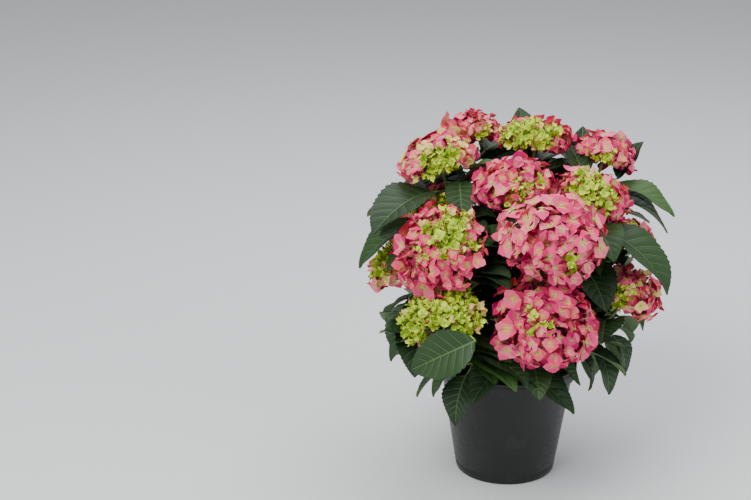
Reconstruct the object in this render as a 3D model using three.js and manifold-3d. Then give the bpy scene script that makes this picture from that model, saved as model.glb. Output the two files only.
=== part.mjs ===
// A potted mophead hydrangea in flower: a nursery pot, its soil, short woody stems, and for each
// flowering shoot one bough and one mass of foliage, which is a stem with pairs of leaves and a flower
// head. Millimetres, +Z up. The origin is the middle of the pot's flat underside, and -Y is the front.

import * as THREE from "three";
import { mergeVertices } from "three/addons/utils/BufferGeometryUtils.js";
import Module from "manifold-3d";

const wasm = await Module();
wasm.setup();

// Driving dimensions of the pot and its soil
const POT_SIDES = 36;
const POT_BASE_RADIUS = 55;
const POT_TOP_RADIUS = 75;
const POT_HEIGHT = 130;
const POT_WALL = 1.8;
const RIM_HEIGHT = 16;
const RIM_OVERHANG = 2.2;
const POT_EDGE = 1;
const DRAIN_COUNT = 6;
const DRAIN_RADIUS = 5;
const DRAIN_RING = 40;
const DRAIN_SIDES = 8;
const SOIL_TOP = 116;
const GAP = 0.3;

// Driving dimensions of the woody stems, which stand in a ring on the soil
const STEM_COUNT = 4;
const STEM_RING = 19;
const STEM_FIRST_BEARING = -100;
const STEM_HEIGHT = 40;
const STEM_FOOT_RADIUS = 5.6;
const STEM_TOP_RADIUS = 4.6;
const STEM_TIP_SHARE = 0.7;
const STEM_FLARE = 3.2;
const STEM_FLARE_HEIGHT = 5;
const STEM_LEAN = 0.22;
const STEM_SIDES = 7;
const STEM_LEVELS = [0, 0.1, 0.25, 0.55, 0.9, 1];
const FORK_SHARES = [0.34, 0.96];
const LEAVING_FLAT = 1.7;
const LEAVING_RISE = 0.12;

// Driving dimensions of a shoot's limbs, from the stem's stub through the bough to the flower head
const BEND_START = 0.36;
const BEND_END = 0.4;
const NECK_SHARE = 0.5;
const STUB_LENGTH = 17;
const STUB_RADIUS = 3.3;
const BOUGH_RADIUS = 2.9;
const MASS_STEM_RADIUS = 2.3;
const HEAD_STEM_RADIUS = 1.8;
const BOUGH_SHARE = 0.22;
const LIMB_SIDES = 5;
const LIMB_STEP = 20;
const KNOT_STEP = 7;

// The crown's middle, seen from above, and its half width: heads lean away from this middle.
// Leaves stay between a lowest and a highest level, and reach less far the lower they are.
const CROWN_MIDDLE = new THREE.Vector3(12, 20, 0);
const CROWN_RADIUS = 135;
const CROWN_LEVELS = [80, 250];
const CROWN_REACH = [116, 186];
const CROWN_TOP = 392;

// Each flowering shoot: where its flower head is, how wide the head is, how far it leans out of the
// crown, and how ripe it is, from 0 for green buds to 1 for full colour
const SHOOTS = [
  { name: "top_middle", x: 3, y: 6, z: 329, width: 98, lean: 0.5, ripeness: 0.7 },
  { name: "top_right", x: 91, y: 17, z: 316, width: 90, lean: 0.55, ripeness: 0.5 },
  { name: "front_middle", x: 39, y: -84, z: 303, width: 118, lean: 0.7, ripeness: 1 },
  { name: "front_left", x: -81, y: -78, z: 285, width: 112, lean: 1.15, ripeness: 0.75 },
  { name: "low_middle", x: 29, y: -106, z: 217, width: 118, lean: 0.8, ripeness: 0.9 },
  { name: "low_left", x: -78, y: -106, z: 219, width: 94, lean: 0.45, ripeness: 0 },
  { name: "low_right", x: 131, y: -20, z: 215, width: 76, lean: 0.7, ripeness: 0.8 },
  { name: "right", x: 137, y: 42, z: 256, width: 62, lean: 0.8, ripeness: 0.9 },
  { name: "back_middle", x: 31, y: 86, z: 359, width: 90, lean: 0.45, ripeness: 0.3 },
  { name: "back_right", x: 112, y: 90, z: 341, width: 76, lean: 0.5, ripeness: 0.8 },
  { name: "back_left", x: -41, y: 124, z: 357, width: 72, lean: 0.45, ripeness: 0.8 },
  { name: "top_left", x: -78, y: 54, z: 345, width: 96, lean: 0.5, ripeness: 0.4 },
  { name: "left_bud", x: -84, y: 16, z: 299, width: 46, lean: 0.4, ripeness: 0 },
  { name: "rear_left", x: -98, y: 98, z: 268, width: 96, lean: 0.8, ripeness: 0.8 },
  { name: "rear_middle", x: 22, y: 150, z: 276, width: 104, lean: 0.8, ripeness: 0.9 },
  { name: "rear_right", x: 100, y: 128, z: 250, width: 90, lean: 0.8, ripeness: 0.5 },
  { name: "left", x: -122, y: 28, z: 232, width: 84, lean: 0.8, ripeness: 0.3 },
];

// Proportions of a flower head to its half width; a ripe head is a fuller dome than a green one
const DOME_UP = [0.52, 0.8];
const DOME_DOWN = [0.4, 0.5];
const FLORET_SEAT = 0.84;
const CORE_SHARE = 0.7;
const FLORET_ROOT = 0.58;
const FLORETS_PER_MM = 0.13;
const FLORET_COVER = 1.42;
const FLORET_SPREAD = [0.85, 1.15];
const FLORET_CUP = 0.28;
const FLORET_LOWEST = THREE.MathUtils.degToRad(112);
const FLORET_TIPS = 4;
const FLORET_SIZES = [1, 0.8, 0.6, 0.4, 0.2];
const GOLDEN_ANGLE = Math.PI * (3 - Math.sqrt(5));

// Driving dimensions of the leaves, which stand in crossed pairs below each head
const LEAF_LENGTH = 110;
const LEAF_VARIETY = [0.85, 1.1];
const LEAF_WIDTH = 0.66;
const LEAF_THICKNESS = 0.02;
const LEAF_FOLD = 0.3;
const LEAF_RISE = [0, 0.7];
const LEAF_DROOP = [0.6, 1.2];
const LEAF_STEM_TILT = 0.5;
const LEAF_BROADEST = 0.8;
const LEAF_ROUNDNESS = 0.85;
const PETIOLE_LENGTH = 24;
const PETIOLE_RADIUS = 1.7;
const FIRST_PAIR = 13;
const PAIR_SPACING = 20;
const PAIR_MARGIN = 5;
const PAIR_COUNT = 8;
const LEAF_STATIONS = [0.28, 0.7];
const LEAF_SIZES = [1, 0.86, 0.72, 0.58];
const LEAF_TURNS = [0, 0.4, -0.4, 0.8, -0.8, 1.2, -1.2, 1.6, -1.6];
const LEAF_TILTS = [0, 0.4, -0.4, 0.8];

// Clear distances that leaves and florets keep
const SPACE_MARGIN = 2.6;
const LIMB_SPACE = 3;
const LIMB_CLEAR = 3.5;
const LEAF_CLEAR = 4.5;
const HEAD_CLEAR = 2;
const POT_CLEAR = 4;
const SAMPLES_ALONG = 11;
const SAMPLES_ACROSS = 4;
const STALK_SAMPLES = [0.45, 0.7, 0.9];
const SEED = 4127;
const SHOOT_SEED_STEP = 1000;
const PAIR_SEED_STEP = 10;
const SLANT = 0.05;
const TINY = 1e-6;

const UP = new THREE.Vector3(0, 0, 1);
const ORIGIN = new THREE.Vector3();

const FINISHES = {
  pot: { color: 0x1a1e1c, roughness: 0.45, metalness: 0 },
  soil: { color: 0x35261b, roughness: 0.95, metalness: 0 },
  wood: { color: 0x7a6a4c, roughness: 0.85, metalness: 0 },
  bough: { color: 0x6f8042, roughness: 0.7, metalness: 0 },
  green_head: { color: 0x9fbf4a, roughness: 0.7, metalness: 0 },
  pink_head: { color: 0xd8708a, roughness: 0.7, metalness: 0 },
};

// Returns a function that draws even numbers from 0 to 1, the same ones for the same seed
function randomStream(seed) {
  let state = seed;
  return () => {
    state = (state + 0x6d2b79f5) | 0;
    let mixed = Math.imul(state ^ (state >>> 15), 1 | state);
    mixed = (mixed + Math.imul(mixed ^ (mixed >>> 7), 61 | mixed)) ^ mixed;
    return ((mixed ^ (mixed >>> 14)) >>> 0) / 4294967296;
  };
}

function between(range, share) {
  return range[0] + (range[1] - range[0]) * share;
}

function bearing(angle) {
  return new THREE.Vector3(Math.cos(angle), Math.sin(angle), 0);
}

// The sum of a start point and some directions, each with its distance
function along(start, ...steps) {
  const point = start.clone();
  for (const [direction, distance] of steps) point.addScaledVector(direction, distance);
  return point;
}

// A direction square to two others, which holds good also where they are parallel
function squareTo(first, second) {
  return new THREE.Vector3().crossVectors(first, along(second, [bearing(1), SLANT])).normalize();
}

// A closed geometry from corner points and triangles, with its faces turned outward
function closedGeometry(points, faces) {
  let volume = 0;
  for (const [a, b, c] of faces) {
    volume += points[a].dot(new THREE.Vector3().crossVectors(points[b], points[c]));
  }
  const outward = volume > 0 ? faces : faces.map(([a, b, c]) => [a, c, b]);
  const geometry = new THREE.BufferGeometry().setFromPoints(points);
  geometry.setIndex(outward.flat());
  return geometry;
}

// A closed skin over a row of rings of points, flat at both ends
function loft(rings) {
  const sides = rings[0].length;
  const faces = [];
  for (let ring = 0; ring + 1 < rings.length; ring++) {
    for (let side = 0; side < sides; side++) {
      const a = ring * sides + side;
      const b = ring * sides + ((side + 1) % sides);
      faces.push([a, b, b + sides], [a, b + sides, a + sides]);
    }
  }
  const last = (rings.length - 1) * sides;
  for (let side = 1; side + 1 < sides; side++) {
    faces.push([0, side + 1, side], [last, last + side, last + side + 1]);
  }
  return closedGeometry(rings.flat(), faces);
}

// A lathe geometry about Z with its seam and its points on the axis merged
function turned(profile, sides) {
  const lathe = new THREE.LatheGeometry(profile, sides).rotateX(Math.PI / 2);
  return welded(lathe);
}

function welded(source) {
  source.deleteAttribute("normal");
  source.deleteAttribute("uv");
  const merged = mergeVertices(source, 1e-3);
  const index = merged.index.array;
  const kept = [];
  for (let i = 0; i < index.length; i += 3) {
    const [a, b, c] = [index[i], index[i + 1], index[i + 2]];
    if (a !== b && b !== c && c !== a) kept.push(a, b, c);
  }
  merged.setIndex(kept);
  return merged;
}

function toSolid(geometry) {
  const vertProperties = new Float32Array(geometry.attributes.position.array);
  const triVerts = new Uint32Array(geometry.index.array);
  return new wasm.Manifold(new wasm.Mesh({ numProp: 3, vertProperties, triVerts }));
}

function toGeometry(solid) {
  const mesh = solid.getMesh();
  const geometry = new THREE.BufferGeometry();
  geometry.setAttribute("position", new THREE.BufferAttribute(mesh.vertProperties, 3));
  geometry.setIndex(new THREE.BufferAttribute(mesh.triVerts, 1));
  geometry.computeVertexNormals();
  return geometry;
}

function fused(geometries) {
  return toGeometry(geometries.map(toSolid).reduce((whole, piece) => whole.add(piece)));
}

function part(name, geometry, finish) {
  const mesh = new THREE.Mesh(geometry, new THREE.MeshStandardMaterial(FINISHES[finish]));
  mesh.name = name;
  return mesh;
}

// Pot
function potRadius(height) {
  return POT_BASE_RADIUS + ((POT_TOP_RADIUS - POT_BASE_RADIUS) * height) / POT_HEIGHT;
}

function makePot() {
  const rimFoot = POT_HEIGHT - RIM_HEIGHT;
  const rimRadius = potRadius(POT_HEIGHT) + RIM_OVERHANG;
  const profile = [
    [0, 0],
    [POT_BASE_RADIUS - POT_EDGE, 0],
    [POT_BASE_RADIUS, POT_EDGE],
    [potRadius(rimFoot), rimFoot],
    [rimRadius - POT_EDGE / 2, rimFoot + POT_EDGE],
    [rimRadius, POT_HEIGHT - POT_EDGE],
    [rimRadius - POT_EDGE, POT_HEIGHT],
    [POT_TOP_RADIUS - POT_WALL, POT_HEIGHT],
    [POT_BASE_RADIUS - POT_WALL, POT_WALL],
    [0, POT_WALL],
  ].map(([radius, height]) => new THREE.Vector2(radius, height));
  let pot = toSolid(turned(profile, POT_SIDES));
  for (let hole = 0; hole < DRAIN_COUNT; hole++) {
    const angle = (2 * Math.PI * (hole + 0.5)) / DRAIN_COUNT;
    const drill = new THREE.CylinderGeometry(DRAIN_RADIUS, DRAIN_RADIUS, 4 * POT_WALL, DRAIN_SIDES);
    const { x, y } = bearing(angle).multiplyScalar(DRAIN_RING);
    drill.rotateX(Math.PI / 2).translate(x, y, 0);
    pot = pot.subtract(toSolid(welded(drill)));
  }
  return part("pot", toGeometry(pot), "pot");
}

function makeSoil() {
  const foot = POT_WALL + GAP;
  const wallShare = (POT_TOP_RADIUS - POT_BASE_RADIUS) / (POT_HEIGHT - POT_WALL);
  const soilRadius = (height) => POT_BASE_RADIUS - POT_WALL - GAP + (height - POT_WALL) * wallShare;
  const profile = [
    [0, foot],
    [soilRadius(foot), foot],
    [soilRadius(SOIL_TOP), SOIL_TOP],
    [0, SOIL_TOP],
  ].map(([radius, height]) => new THREE.Vector2(radius, height));
  return part("soil", turned(profile, POT_SIDES), "soil");
}

// Woody stems: a stem knows its bearing and the line of its middle
function planStems() {
  const stems = [];
  for (let index = 0; index < STEM_COUNT; index++) {
    const angle = THREE.MathUtils.degToRad(STEM_FIRST_BEARING + (360 * index) / STEM_COUNT);
    const outward = bearing(angle);
    const foot = along(ORIGIN, [outward, STEM_RING], [UP, SOIL_TOP + GAP]);
    const growth = along(ORIGIN, [outward, STEM_LEAN * STEM_HEIGHT], [UP, STEM_HEIGHT]);
    const middle = (share) => along(foot, [growth, share]);
    stems.push({ name: `stem_${index + 1}`, angle, middle, shoots: [] });
  }
  return stems;
}

function stemRadius(share) {
  const flare = STEM_FLARE * Math.exp((-share * STEM_HEIGHT) / STEM_FLARE_HEIGHT);
  return STEM_FOOT_RADIUS + (STEM_TOP_RADIUS - STEM_FOOT_RADIUS) * share + flare;
}

function makeStem(stem) {
  const rings = STEM_LEVELS.map((share) => {
    const ring = [];
    const radius = stemRadius(share) * (share === 1 ? STEM_TIP_SHARE : 1);
    for (let side = 0; side < STEM_SIDES; side++) {
      ring.push(along(stem.middle(share), [bearing((2 * Math.PI * side) / STEM_SIDES), radius]));
    }
    return ring;
  });
  const stubs = stem.shoots.map((shoot) => limb(shoot, 0, STUB_LENGTH, STUB_RADIUS, BOUGH_RADIUS));
  return part(stem.name, fused([loft(rings), ...stubs]), "wood");
}

// Shoots: each is one bend from its stem to the foot of its flower head
function planShoots(stems) {
  const shoots = SHOOTS.map((row, index) => {
    const centre = new THREE.Vector3(row.x, row.y, row.z);
    const out = centre.clone().sub(CROWN_MIDDLE).setZ(0);
    const axis = along(UP, [out, row.lean / CROWN_RADIUS]).normalize();
    const radius = row.width / 2;
    const up = radius * between(DOME_UP, row.ripeness);
    const down = radius * between(DOME_DOWN, row.ripeness);
    const heart = along(centre, [axis, (down - up) / 2]);
    const stem = nearestStem(stems, Math.atan2(out.y, out.x));
    const shoot = { ...row, index, axis, radius, up, down, heart, stem };
    stem.shoots.push(shoot);
    return shoot;
  });
  for (const stem of stems) {
    const tip = stem.middle(1);
    const steepness = ({ heart }) => (heart.z - tip.z) / Math.hypot(heart.x - tip.x, heart.y - tip.y);
    stem.shoots.sort((flat, steep) => steepness(flat) - steepness(steep));
    stem.shoots.forEach((shoot, order) => {
      const share = between(FORK_SHARES, order / (stem.shoots.length - 1));
      shoot.start = stem.middle(share);
    });
  }
  for (const shoot of shoots) bendShoot(shoot);
  return shoots;
}

function nearestStem(stems, angle) {
  const apart = (stem) => Math.cos(stem.angle - angle);
  return stems.reduce((best, stem) => (apart(stem) > apart(best) ? stem : best));
}

function bendShoot(shoot) {
  const { start, heart, axis } = shoot;
  const foot = along(heart, [axis, -NECK_SHARE * shoot.down]);
  const reach = foot.distanceTo(start);
  const toward = foot.clone().sub(start).normalize();
  const flat = toward.clone().setZ(0);
  const leaving = along(toward, [flat, LEAVING_FLAT], [UP, LEAVING_RISE]).normalize();
  const curve = new THREE.CubicBezierCurve3(
    start,
    along(start, [leaving, BEND_START * reach]),
    along(foot, [axis, -BEND_END * reach]),
    foot,
  );
  shoot.curve = curve;
  shoot.length = curve.getLength();
  shoot.boughEnd = STUB_LENGTH + (shoot.length - STUB_LENGTH) * BOUGH_SHARE;
  shoot.side = squareTo(leaving, axis);
  const knotCount = Math.ceil(shoot.length / KNOT_STEP);
  shoot.knots = curve.getSpacedPoints(knotCount);
  shoot.random = randomStream(SEED + SHOOT_SEED_STEP * shoot.index - 1);
  shoot.phase = 2 * Math.PI * shoot.random();
}

// The point at a distance along a shoot, with two directions across it
function stationOn(shoot, distance) {
  const share = Math.min(1, distance / shoot.length);
  const point = shoot.curve.getPointAt(share);
  const ahead = shoot.curve.getTangentAt(share);
  const across = along(shoot.side, [ahead, -shoot.side.dot(ahead)]).normalize();
  const third = new THREE.Vector3().crossVectors(ahead, across);
  return { point, across, third };
}

// A tapering limb along a shoot from one distance to another
function limb(shoot, from, to, startRadius, endRadius) {
  const steps = Math.max(1, Math.round((to - from) / LIMB_STEP));
  const rings = [];
  for (let step = 0; step <= steps; step++) {
    const share = step / steps;
    const radius = between([startRadius, endRadius], share);
    const { point, across, third } = stationOn(shoot, between([from, to], share));
    rings.push(roundRing(point, across, third, radius, LIMB_SIDES));
  }
  return loft(rings);
}

function roundRing(middle, across, third, radius, sides) {
  const ring = [];
  for (let side = 0; side < sides; side++) {
    const angle = (2 * Math.PI * side) / sides;
    ring.push(along(middle, [across, radius * Math.cos(angle)], [third, radius * Math.sin(angle)]));
  }
  return ring;
}

function makeBough(shoot) {
  const geometry = limb(shoot, STUB_LENGTH + GAP, shoot.boughEnd, BOUGH_RADIUS, MASS_STEM_RADIUS);
  return part(`bough_${shoot.name}`, geometry, "bough");
}

// Distance from a point to a shoot's own limbs and flower head, below zero inside the head
function distanceTo(shoot, point) {
  let nearest = headDistance(shoot, point);
  for (const knot of shoot.knots) nearest = Math.min(nearest, knot.distanceTo(point) - LIMB_SPACE);
  return nearest;
}

function headDistance(shoot, point) {
  const offset = point.clone().sub(shoot.heart);
  const height = offset.dot(shoot.axis);
  const level = offset.addScaledVector(shoot.axis, -height).length();
  const scaled = Math.hypot(level / shoot.radius, height / (height > 0 ? shoot.up : shoot.down));
  return Math.hypot(level, height) * (1 - 1 / Math.max(scaled, TINY));
}

// True where a point is outside the crown, or too near a stem, a shoot's limbs, a head or the pot
function isTaken(point, plan) {
  const level = (point.z - CROWN_LEVELS[0]) / (CROWN_LEVELS[1] - CROWN_LEVELS[0]);
  const reach = between(CROWN_REACH, Math.min(1, level));
  const middle = CROWN_MIDDLE.clone().multiplyScalar(Math.min(1, level)).setZ(point.z);
  if (level < 0 || point.z > CROWN_TOP || middle.distanceTo(point) > reach) return true;
  const potReach = POT_TOP_RADIUS + RIM_OVERHANG + POT_CLEAR;
  if (Math.hypot(point.x, point.y) < potReach && point.z < POT_HEIGHT + POT_CLEAR) return true;
  const share = THREE.MathUtils.clamp((point.z - SOIL_TOP) / STEM_HEIGHT, 0, 1);
  const nearStem = (stem) => stem.middle(share).distanceTo(point) < stemRadius(share) + LIMB_CLEAR;
  const nearKnot = (knot) => knot.distanceTo(point) < LIMB_SPACE + LIMB_CLEAR;
  const nearShoot = (shoot) => headDistance(shoot, point) < HEAD_CLEAR || shoot.knots.some(nearKnot);
  return plan.stems.some(nearStem) || plan.shoots.some(nearShoot);
}

// True where a point of a flower head is nearer to its own shoot than to any other
function inOwnSpace(shoot, shoots, point) {
  const own = distanceTo(shoot, point) + SPACE_MARGIN;
  return shoots.every((other) => other === shoot || distanceTo(other, point) > own);
}

// Leaves: a blade that leaves its stem with a rise, bends down under its weight and folds at its rib
function bladePoint(leaf, share, side) {
  const rise = leaf.rise - leaf.droop * share;
  const level = (leaf.length / leaf.droop) * (Math.sin(leaf.rise) - Math.sin(rise));
  const height = (leaf.length / leaf.droop) * (Math.cos(rise) - Math.cos(leaf.rise));
  const half = 0.5 * LEAF_WIDTH * leaf.length * bladeWidth(share) * side;
  const lift = Math.abs(half) * Math.sin(LEAF_FOLD);
  return along(
    leaf.root,
    [leaf.outward, level - lift * Math.sin(rise)],
    [UP, height + lift * Math.cos(rise)],
    [leaf.across, half * Math.cos(LEAF_FOLD)],
  );
}

function bladeWidth(share) {
  return Math.max(0, Math.sin(Math.PI * share ** LEAF_BROADEST)) ** LEAF_ROUNDNESS;
}

// A leaf with its stalk: four-cornered sections from inside the stem, through the stalk, to the tip
function makeLeaf(leaf) {
  const half = 0.5 * LEAF_THICKNESS * leaf.length;
  const section = (middle, left, right, height) => [
    left,
    along(middle, [UP, height]),
    right,
    along(middle, [UP, -height]),
  ];
  const stalk = (middle) => {
    const [left, right] = [-1, 1].map((side) => along(middle, [leaf.across, side * PETIOLE_RADIUS]));
    return section(middle, left, right, PETIOLE_RADIUS);
  };
  const sections = LEAF_STATIONS.map((share) => {
    const [left, rib, right] = [-1, 0, 1].map((side) => bladePoint(leaf, share, side));
    return section(rib, left, right, half);
  });
  const points = [stalk(leaf.node), stalk(leaf.root), ...sections].flat();
  points.push(bladePoint(leaf, 1, 0));
  const tip = points.length - 1;
  const faces = [[0, 1, 2], [0, 2, 3]];
  for (let corner = 0; corner < 4; corner++) {
    const next = (corner + 1) % 4;
    for (let first = 0; first + 4 < tip; first += 4) {
      const [a, b] = [first + corner, first + next];
      faces.push([a, b + 4, b], [a, a + 4, b + 4]);
    }
    faces.push([tip - 4 + corner, tip, tip - 4 + next]);
  }
  return closedGeometry(points, faces);
}

// Points all over a leaf's facets and along its stalk
function leafSamples(leaf) {
  const samples = STALK_SAMPLES.map((share) => leaf.node.clone().lerp(leaf.root, share));
  const cuts = [0, ...LEAF_STATIONS, 1];
  for (let row = 0; row <= SAMPLES_ALONG; row++) {
    const share = row / SAMPLES_ALONG;
    const cut = Math.min(cuts.findLastIndex((start) => start <= share), cuts.length - 2);
    const within = (share - cuts[cut]) / (cuts[cut + 1] - cuts[cut]);
    for (let column = -SAMPLES_ACROSS; column <= SAMPLES_ACROSS; column++) {
      const side = Math.sign(column);
      const edge = bladePoint(leaf, cuts[cut], side).lerp(bladePoint(leaf, cuts[cut + 1], side), within);
      const rib = bladePoint(leaf, cuts[cut], 0).lerp(bladePoint(leaf, cuts[cut + 1], 0), within);
      samples.push(rib.lerp(edge, Math.abs(column) / SAMPLES_ACROSS));
    }
  }
  return samples;
}

function leafFits(leaf, plan) {
  leaf.samples = leafSamples(leaf);
  leaf.middle = bladePoint(leaf, 0.5, 0);
  if (leaf.samples.some((point) => isTaken(point, plan))) return false;
  return plan.leaves.every((other) => {
    if (other.middle.distanceTo(leaf.middle) > other.length + leaf.length) return true;
    const isClear = (point) => other.samples.every((near) => near.distanceTo(point) > LEAF_CLEAR);
    return leaf.samples.every(isClear);
  });
}

// A leaf of a length that grows from a place on a shoot, at an angle round the shoot
function growLeaf(shoot, distance, angle, rise, droop, size) {
  const { point, across, third } = stationOn(shoot, distance);
  const radial = along(ORIGIN, [across, Math.cos(angle)], [third, Math.sin(angle)]);
  const outward = radial.clone().setZ(0).normalize();
  const leaf = { shoot, node: point, outward, droop, length: LEAF_LENGTH * size };
  leaf.rise = rise + LEAF_STEM_TILT * Math.asin(radial.z);
  leaf.across = new THREE.Vector3().crossVectors(UP, outward);
  const stalk = PETIOLE_LENGTH * Math.sqrt(size);
  leaf.root = along(point, [outward, stalk * Math.cos(leaf.rise)], [UP, stalk * Math.sin(leaf.rise)]);
  return leaf;
}

// The largest leaf that is clear of everything, near the place where its pair would have it
function placeLeaf(shoot, distance, angle, random, plan) {
  const rise = between(LEAF_RISE, random());
  const droop = between(LEAF_DROOP, random());
  const fullSize = between(LEAF_VARIETY, random());
  for (const size of LEAF_SIZES) {
    for (const tilt of LEAF_TILTS) {
      for (const turn of LEAF_TURNS) {
        const leaf = growLeaf(shoot, distance, angle + turn, rise + tilt, droop, fullSize * size);
        if (leafFits(leaf, plan)) return plan.leaves.push(leaf);
      }
    }
  }
}

// Crossed pairs of leaves, the pairs next to the flower heads first
function placeLeaves(plan) {
  for (let pair = 0; pair < PAIR_COUNT; pair++) {
    for (const shoot of plan.shoots) {
      const neck = NECK_SHARE * shoot.down + FIRST_PAIR;
      const distance = shoot.length - neck - pair * PAIR_SPACING;
      if (distance < shoot.boughEnd + PAIR_MARGIN) continue;
      for (const side of [0, 1]) {
        const random = randomStream(SEED + SHOOT_SEED_STEP * shoot.index + PAIR_SEED_STEP * pair + side);
        const angle = shoot.phase + (pair * Math.PI) / 2 + side * Math.PI;
        placeLeaf(shoot, distance, angle, random, plan);
      }
    }
  }
}

// Flower heads: a core with four-cornered florets that stand out of it in a golden-angle spiral
function headPoint(shoot, polar, azimuth, share) {
  const level = bearing(azimuth);
  const [first, second] = headSides(shoot);
  const rim = share * shoot.radius * Math.sin(polar);
  const dome = Math.cos(polar) > 0 ? shoot.up : shoot.down;
  return along(
    shoot.heart,
    [first, rim * level.x],
    [second, rim * level.y],
    [shoot.axis, share * dome * Math.cos(polar)],
  );
}

function headSides(shoot) {
  const first = squareTo(UP, shoot.axis);
  const level = along(first, [shoot.axis, -first.dot(shoot.axis)]).normalize();
  return [level, new THREE.Vector3().crossVectors(shoot.axis, level)];
}

function headNormal(shoot, point) {
  const offset = point.clone().sub(shoot.heart);
  const height = offset.dot(shoot.axis);
  const dome = height > 0 ? shoot.up : shoot.down;
  const level = offset.addScaledVector(shoot.axis, -height);
  return along(ORIGIN, [level, 1 / shoot.radius ** 2], [shoot.axis, height / dome ** 2]).normalize();
}

function makeFlorets(shoot, shoots) {
  const count = Math.round(shoot.width * FLORETS_PER_MM);
  const florets = [];
  for (let index = 0; index < count; index++) {
    const polar = Math.acos(1 - ((index + 0.5) / count) * (1 - Math.cos(FLORET_LOWEST)));
    const seat = headPoint(shoot, polar, index * GOLDEN_ANGLE + shoot.phase, FLORET_SEAT);
    const normal = headNormal(shoot, seat);
    const spread = between(FLORET_SPREAD, Math.sin(polar));
    const radius = (FLORET_COVER * shoot.radius * spread) / Math.sqrt(count);
    const twist = 2 * Math.PI * shoot.random();
    if (!inOwnSpace(shoot, shoots, seat)) continue;
    florets.push(makeFloret(shoot, shoots, seat, normal, radius, twist));
  }
  return florets;
}

// A floret's corners are its heart, its root in the head's core, and the tips of its petals
function makeFloret(shoot, shoots, seat, normal, radius, twist) {
  const side = squareTo(normal, UP);
  const other = new THREE.Vector3().crossVectors(normal, side);
  const points = [seat, shoot.heart.clone().lerp(seat, FLORET_ROOT)];
  for (let tip = 0; tip < FLORET_TIPS; tip++) {
    const angle = twist + (2 * Math.PI * tip) / FLORET_TIPS;
    const reach = [[side, radius * Math.cos(angle)], [other, radius * Math.sin(angle)]];
    const full = withinHead(shoot, along(seat, ...reach, [normal, FLORET_CUP * radius]));
    const sizes = FLORET_SIZES.map((size) => seat.clone().lerp(full, size));
    points.push(sizes.find((point) => inOwnSpace(shoot, shoots, point)) ?? sizes.at(-1));
  }
  return floretGeometry(points);
}

// The same point, drawn in to the head's outline where it lies beyond it
function withinHead(shoot, point) {
  const offset = point.clone().sub(shoot.heart);
  const distance = offset.length();
  const reach = distance - Math.max(0, headDistance(shoot, point));
  return along(shoot.heart, [offset.normalize(), reach]);
}

function floretGeometry(points) {
  const faces = [];
  for (let tip = 0; tip < FLORET_TIPS; tip++) {
    const a = 2 + tip;
    const b = 2 + ((tip + 1) % FLORET_TIPS);
    faces.push([0, a, b], [1, b, a]);
  }
  return closedGeometry(points, faces);
}

function makeCore(shoot) {
  const core = new THREE.IcosahedronGeometry(1, 1);
  const positions = core.attributes.position;
  const [first, second] = headSides(shoot);
  for (let index = 0; index < positions.count; index++) {
    const unit = new THREE.Vector3().fromBufferAttribute(positions, index);
    const dome = unit.z > 0 ? shoot.up : shoot.down;
    const share = FLORET_SEAT * CORE_SHARE;
    const moved = along(
      shoot.heart,
      [first, share * unit.x * shoot.radius],
      [second, share * unit.y * shoot.radius],
      [shoot.axis, share * unit.z * dome],
    );
    positions.setXYZ(index, moved.x, moved.y, moved.z);
  }
  return welded(core);
}

// One mass of foliage: stem, leaves and flower head fused into one solid
function makeMass(shoot, plan) {
  const stem = limb(shoot, shoot.boughEnd + GAP, shoot.length, MASS_STEM_RADIUS, HEAD_STEM_RADIUS);
  const leaves = plan.leaves.filter((leaf) => leaf.shoot === shoot).map(makeLeaf);
  const pieces = [stem, makeCore(shoot), ...makeFlorets(shoot, plan.shoots), ...leaves];
  return part(`mass_${shoot.name}`, fused(pieces), shoot.ripeness === 0 ? "green_head" : "pink_head");
}

const stems = planStems();
const shoots = planShoots(stems);
const plan = { stems, shoots, leaves: [] };
placeLeaves(plan);

const plant = new THREE.Group();
plant.add(makePot(), makeSoil());
for (const stem of stems) plant.add(makeStem(stem));
for (const shoot of shoots) plant.add(makeBough(shoot), makeMass(shoot, plan));

export default plant;
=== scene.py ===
# A potted mophead hydrangea in flower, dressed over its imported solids. The growth rule below is the
# one that placed the solids, in millimetres; finished meshes are in metres, in the same frame.

import math
from types import SimpleNamespace

import bmesh
import bpy
import numpy as np
from mathutils import Matrix, Vector


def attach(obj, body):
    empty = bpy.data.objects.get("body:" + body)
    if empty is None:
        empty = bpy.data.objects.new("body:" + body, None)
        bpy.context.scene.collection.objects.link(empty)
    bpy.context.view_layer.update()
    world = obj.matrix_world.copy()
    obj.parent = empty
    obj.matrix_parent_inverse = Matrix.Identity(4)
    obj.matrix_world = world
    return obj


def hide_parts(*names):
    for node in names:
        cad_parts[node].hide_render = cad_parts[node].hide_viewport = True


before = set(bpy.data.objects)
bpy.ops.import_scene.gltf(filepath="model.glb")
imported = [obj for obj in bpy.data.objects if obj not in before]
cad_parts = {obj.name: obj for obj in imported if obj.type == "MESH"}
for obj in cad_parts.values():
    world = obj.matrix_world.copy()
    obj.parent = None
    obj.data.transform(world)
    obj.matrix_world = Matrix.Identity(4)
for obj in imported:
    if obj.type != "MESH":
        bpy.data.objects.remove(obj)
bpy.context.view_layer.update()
MM = 0.001

# Camera at the photograph's viewing angle
CAMERA_PLACE = (-0.146, -1.79, 0.886)
CAMERA_PITCH = math.radians(70.6)
CAMERA_LENS = 83.9

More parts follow.
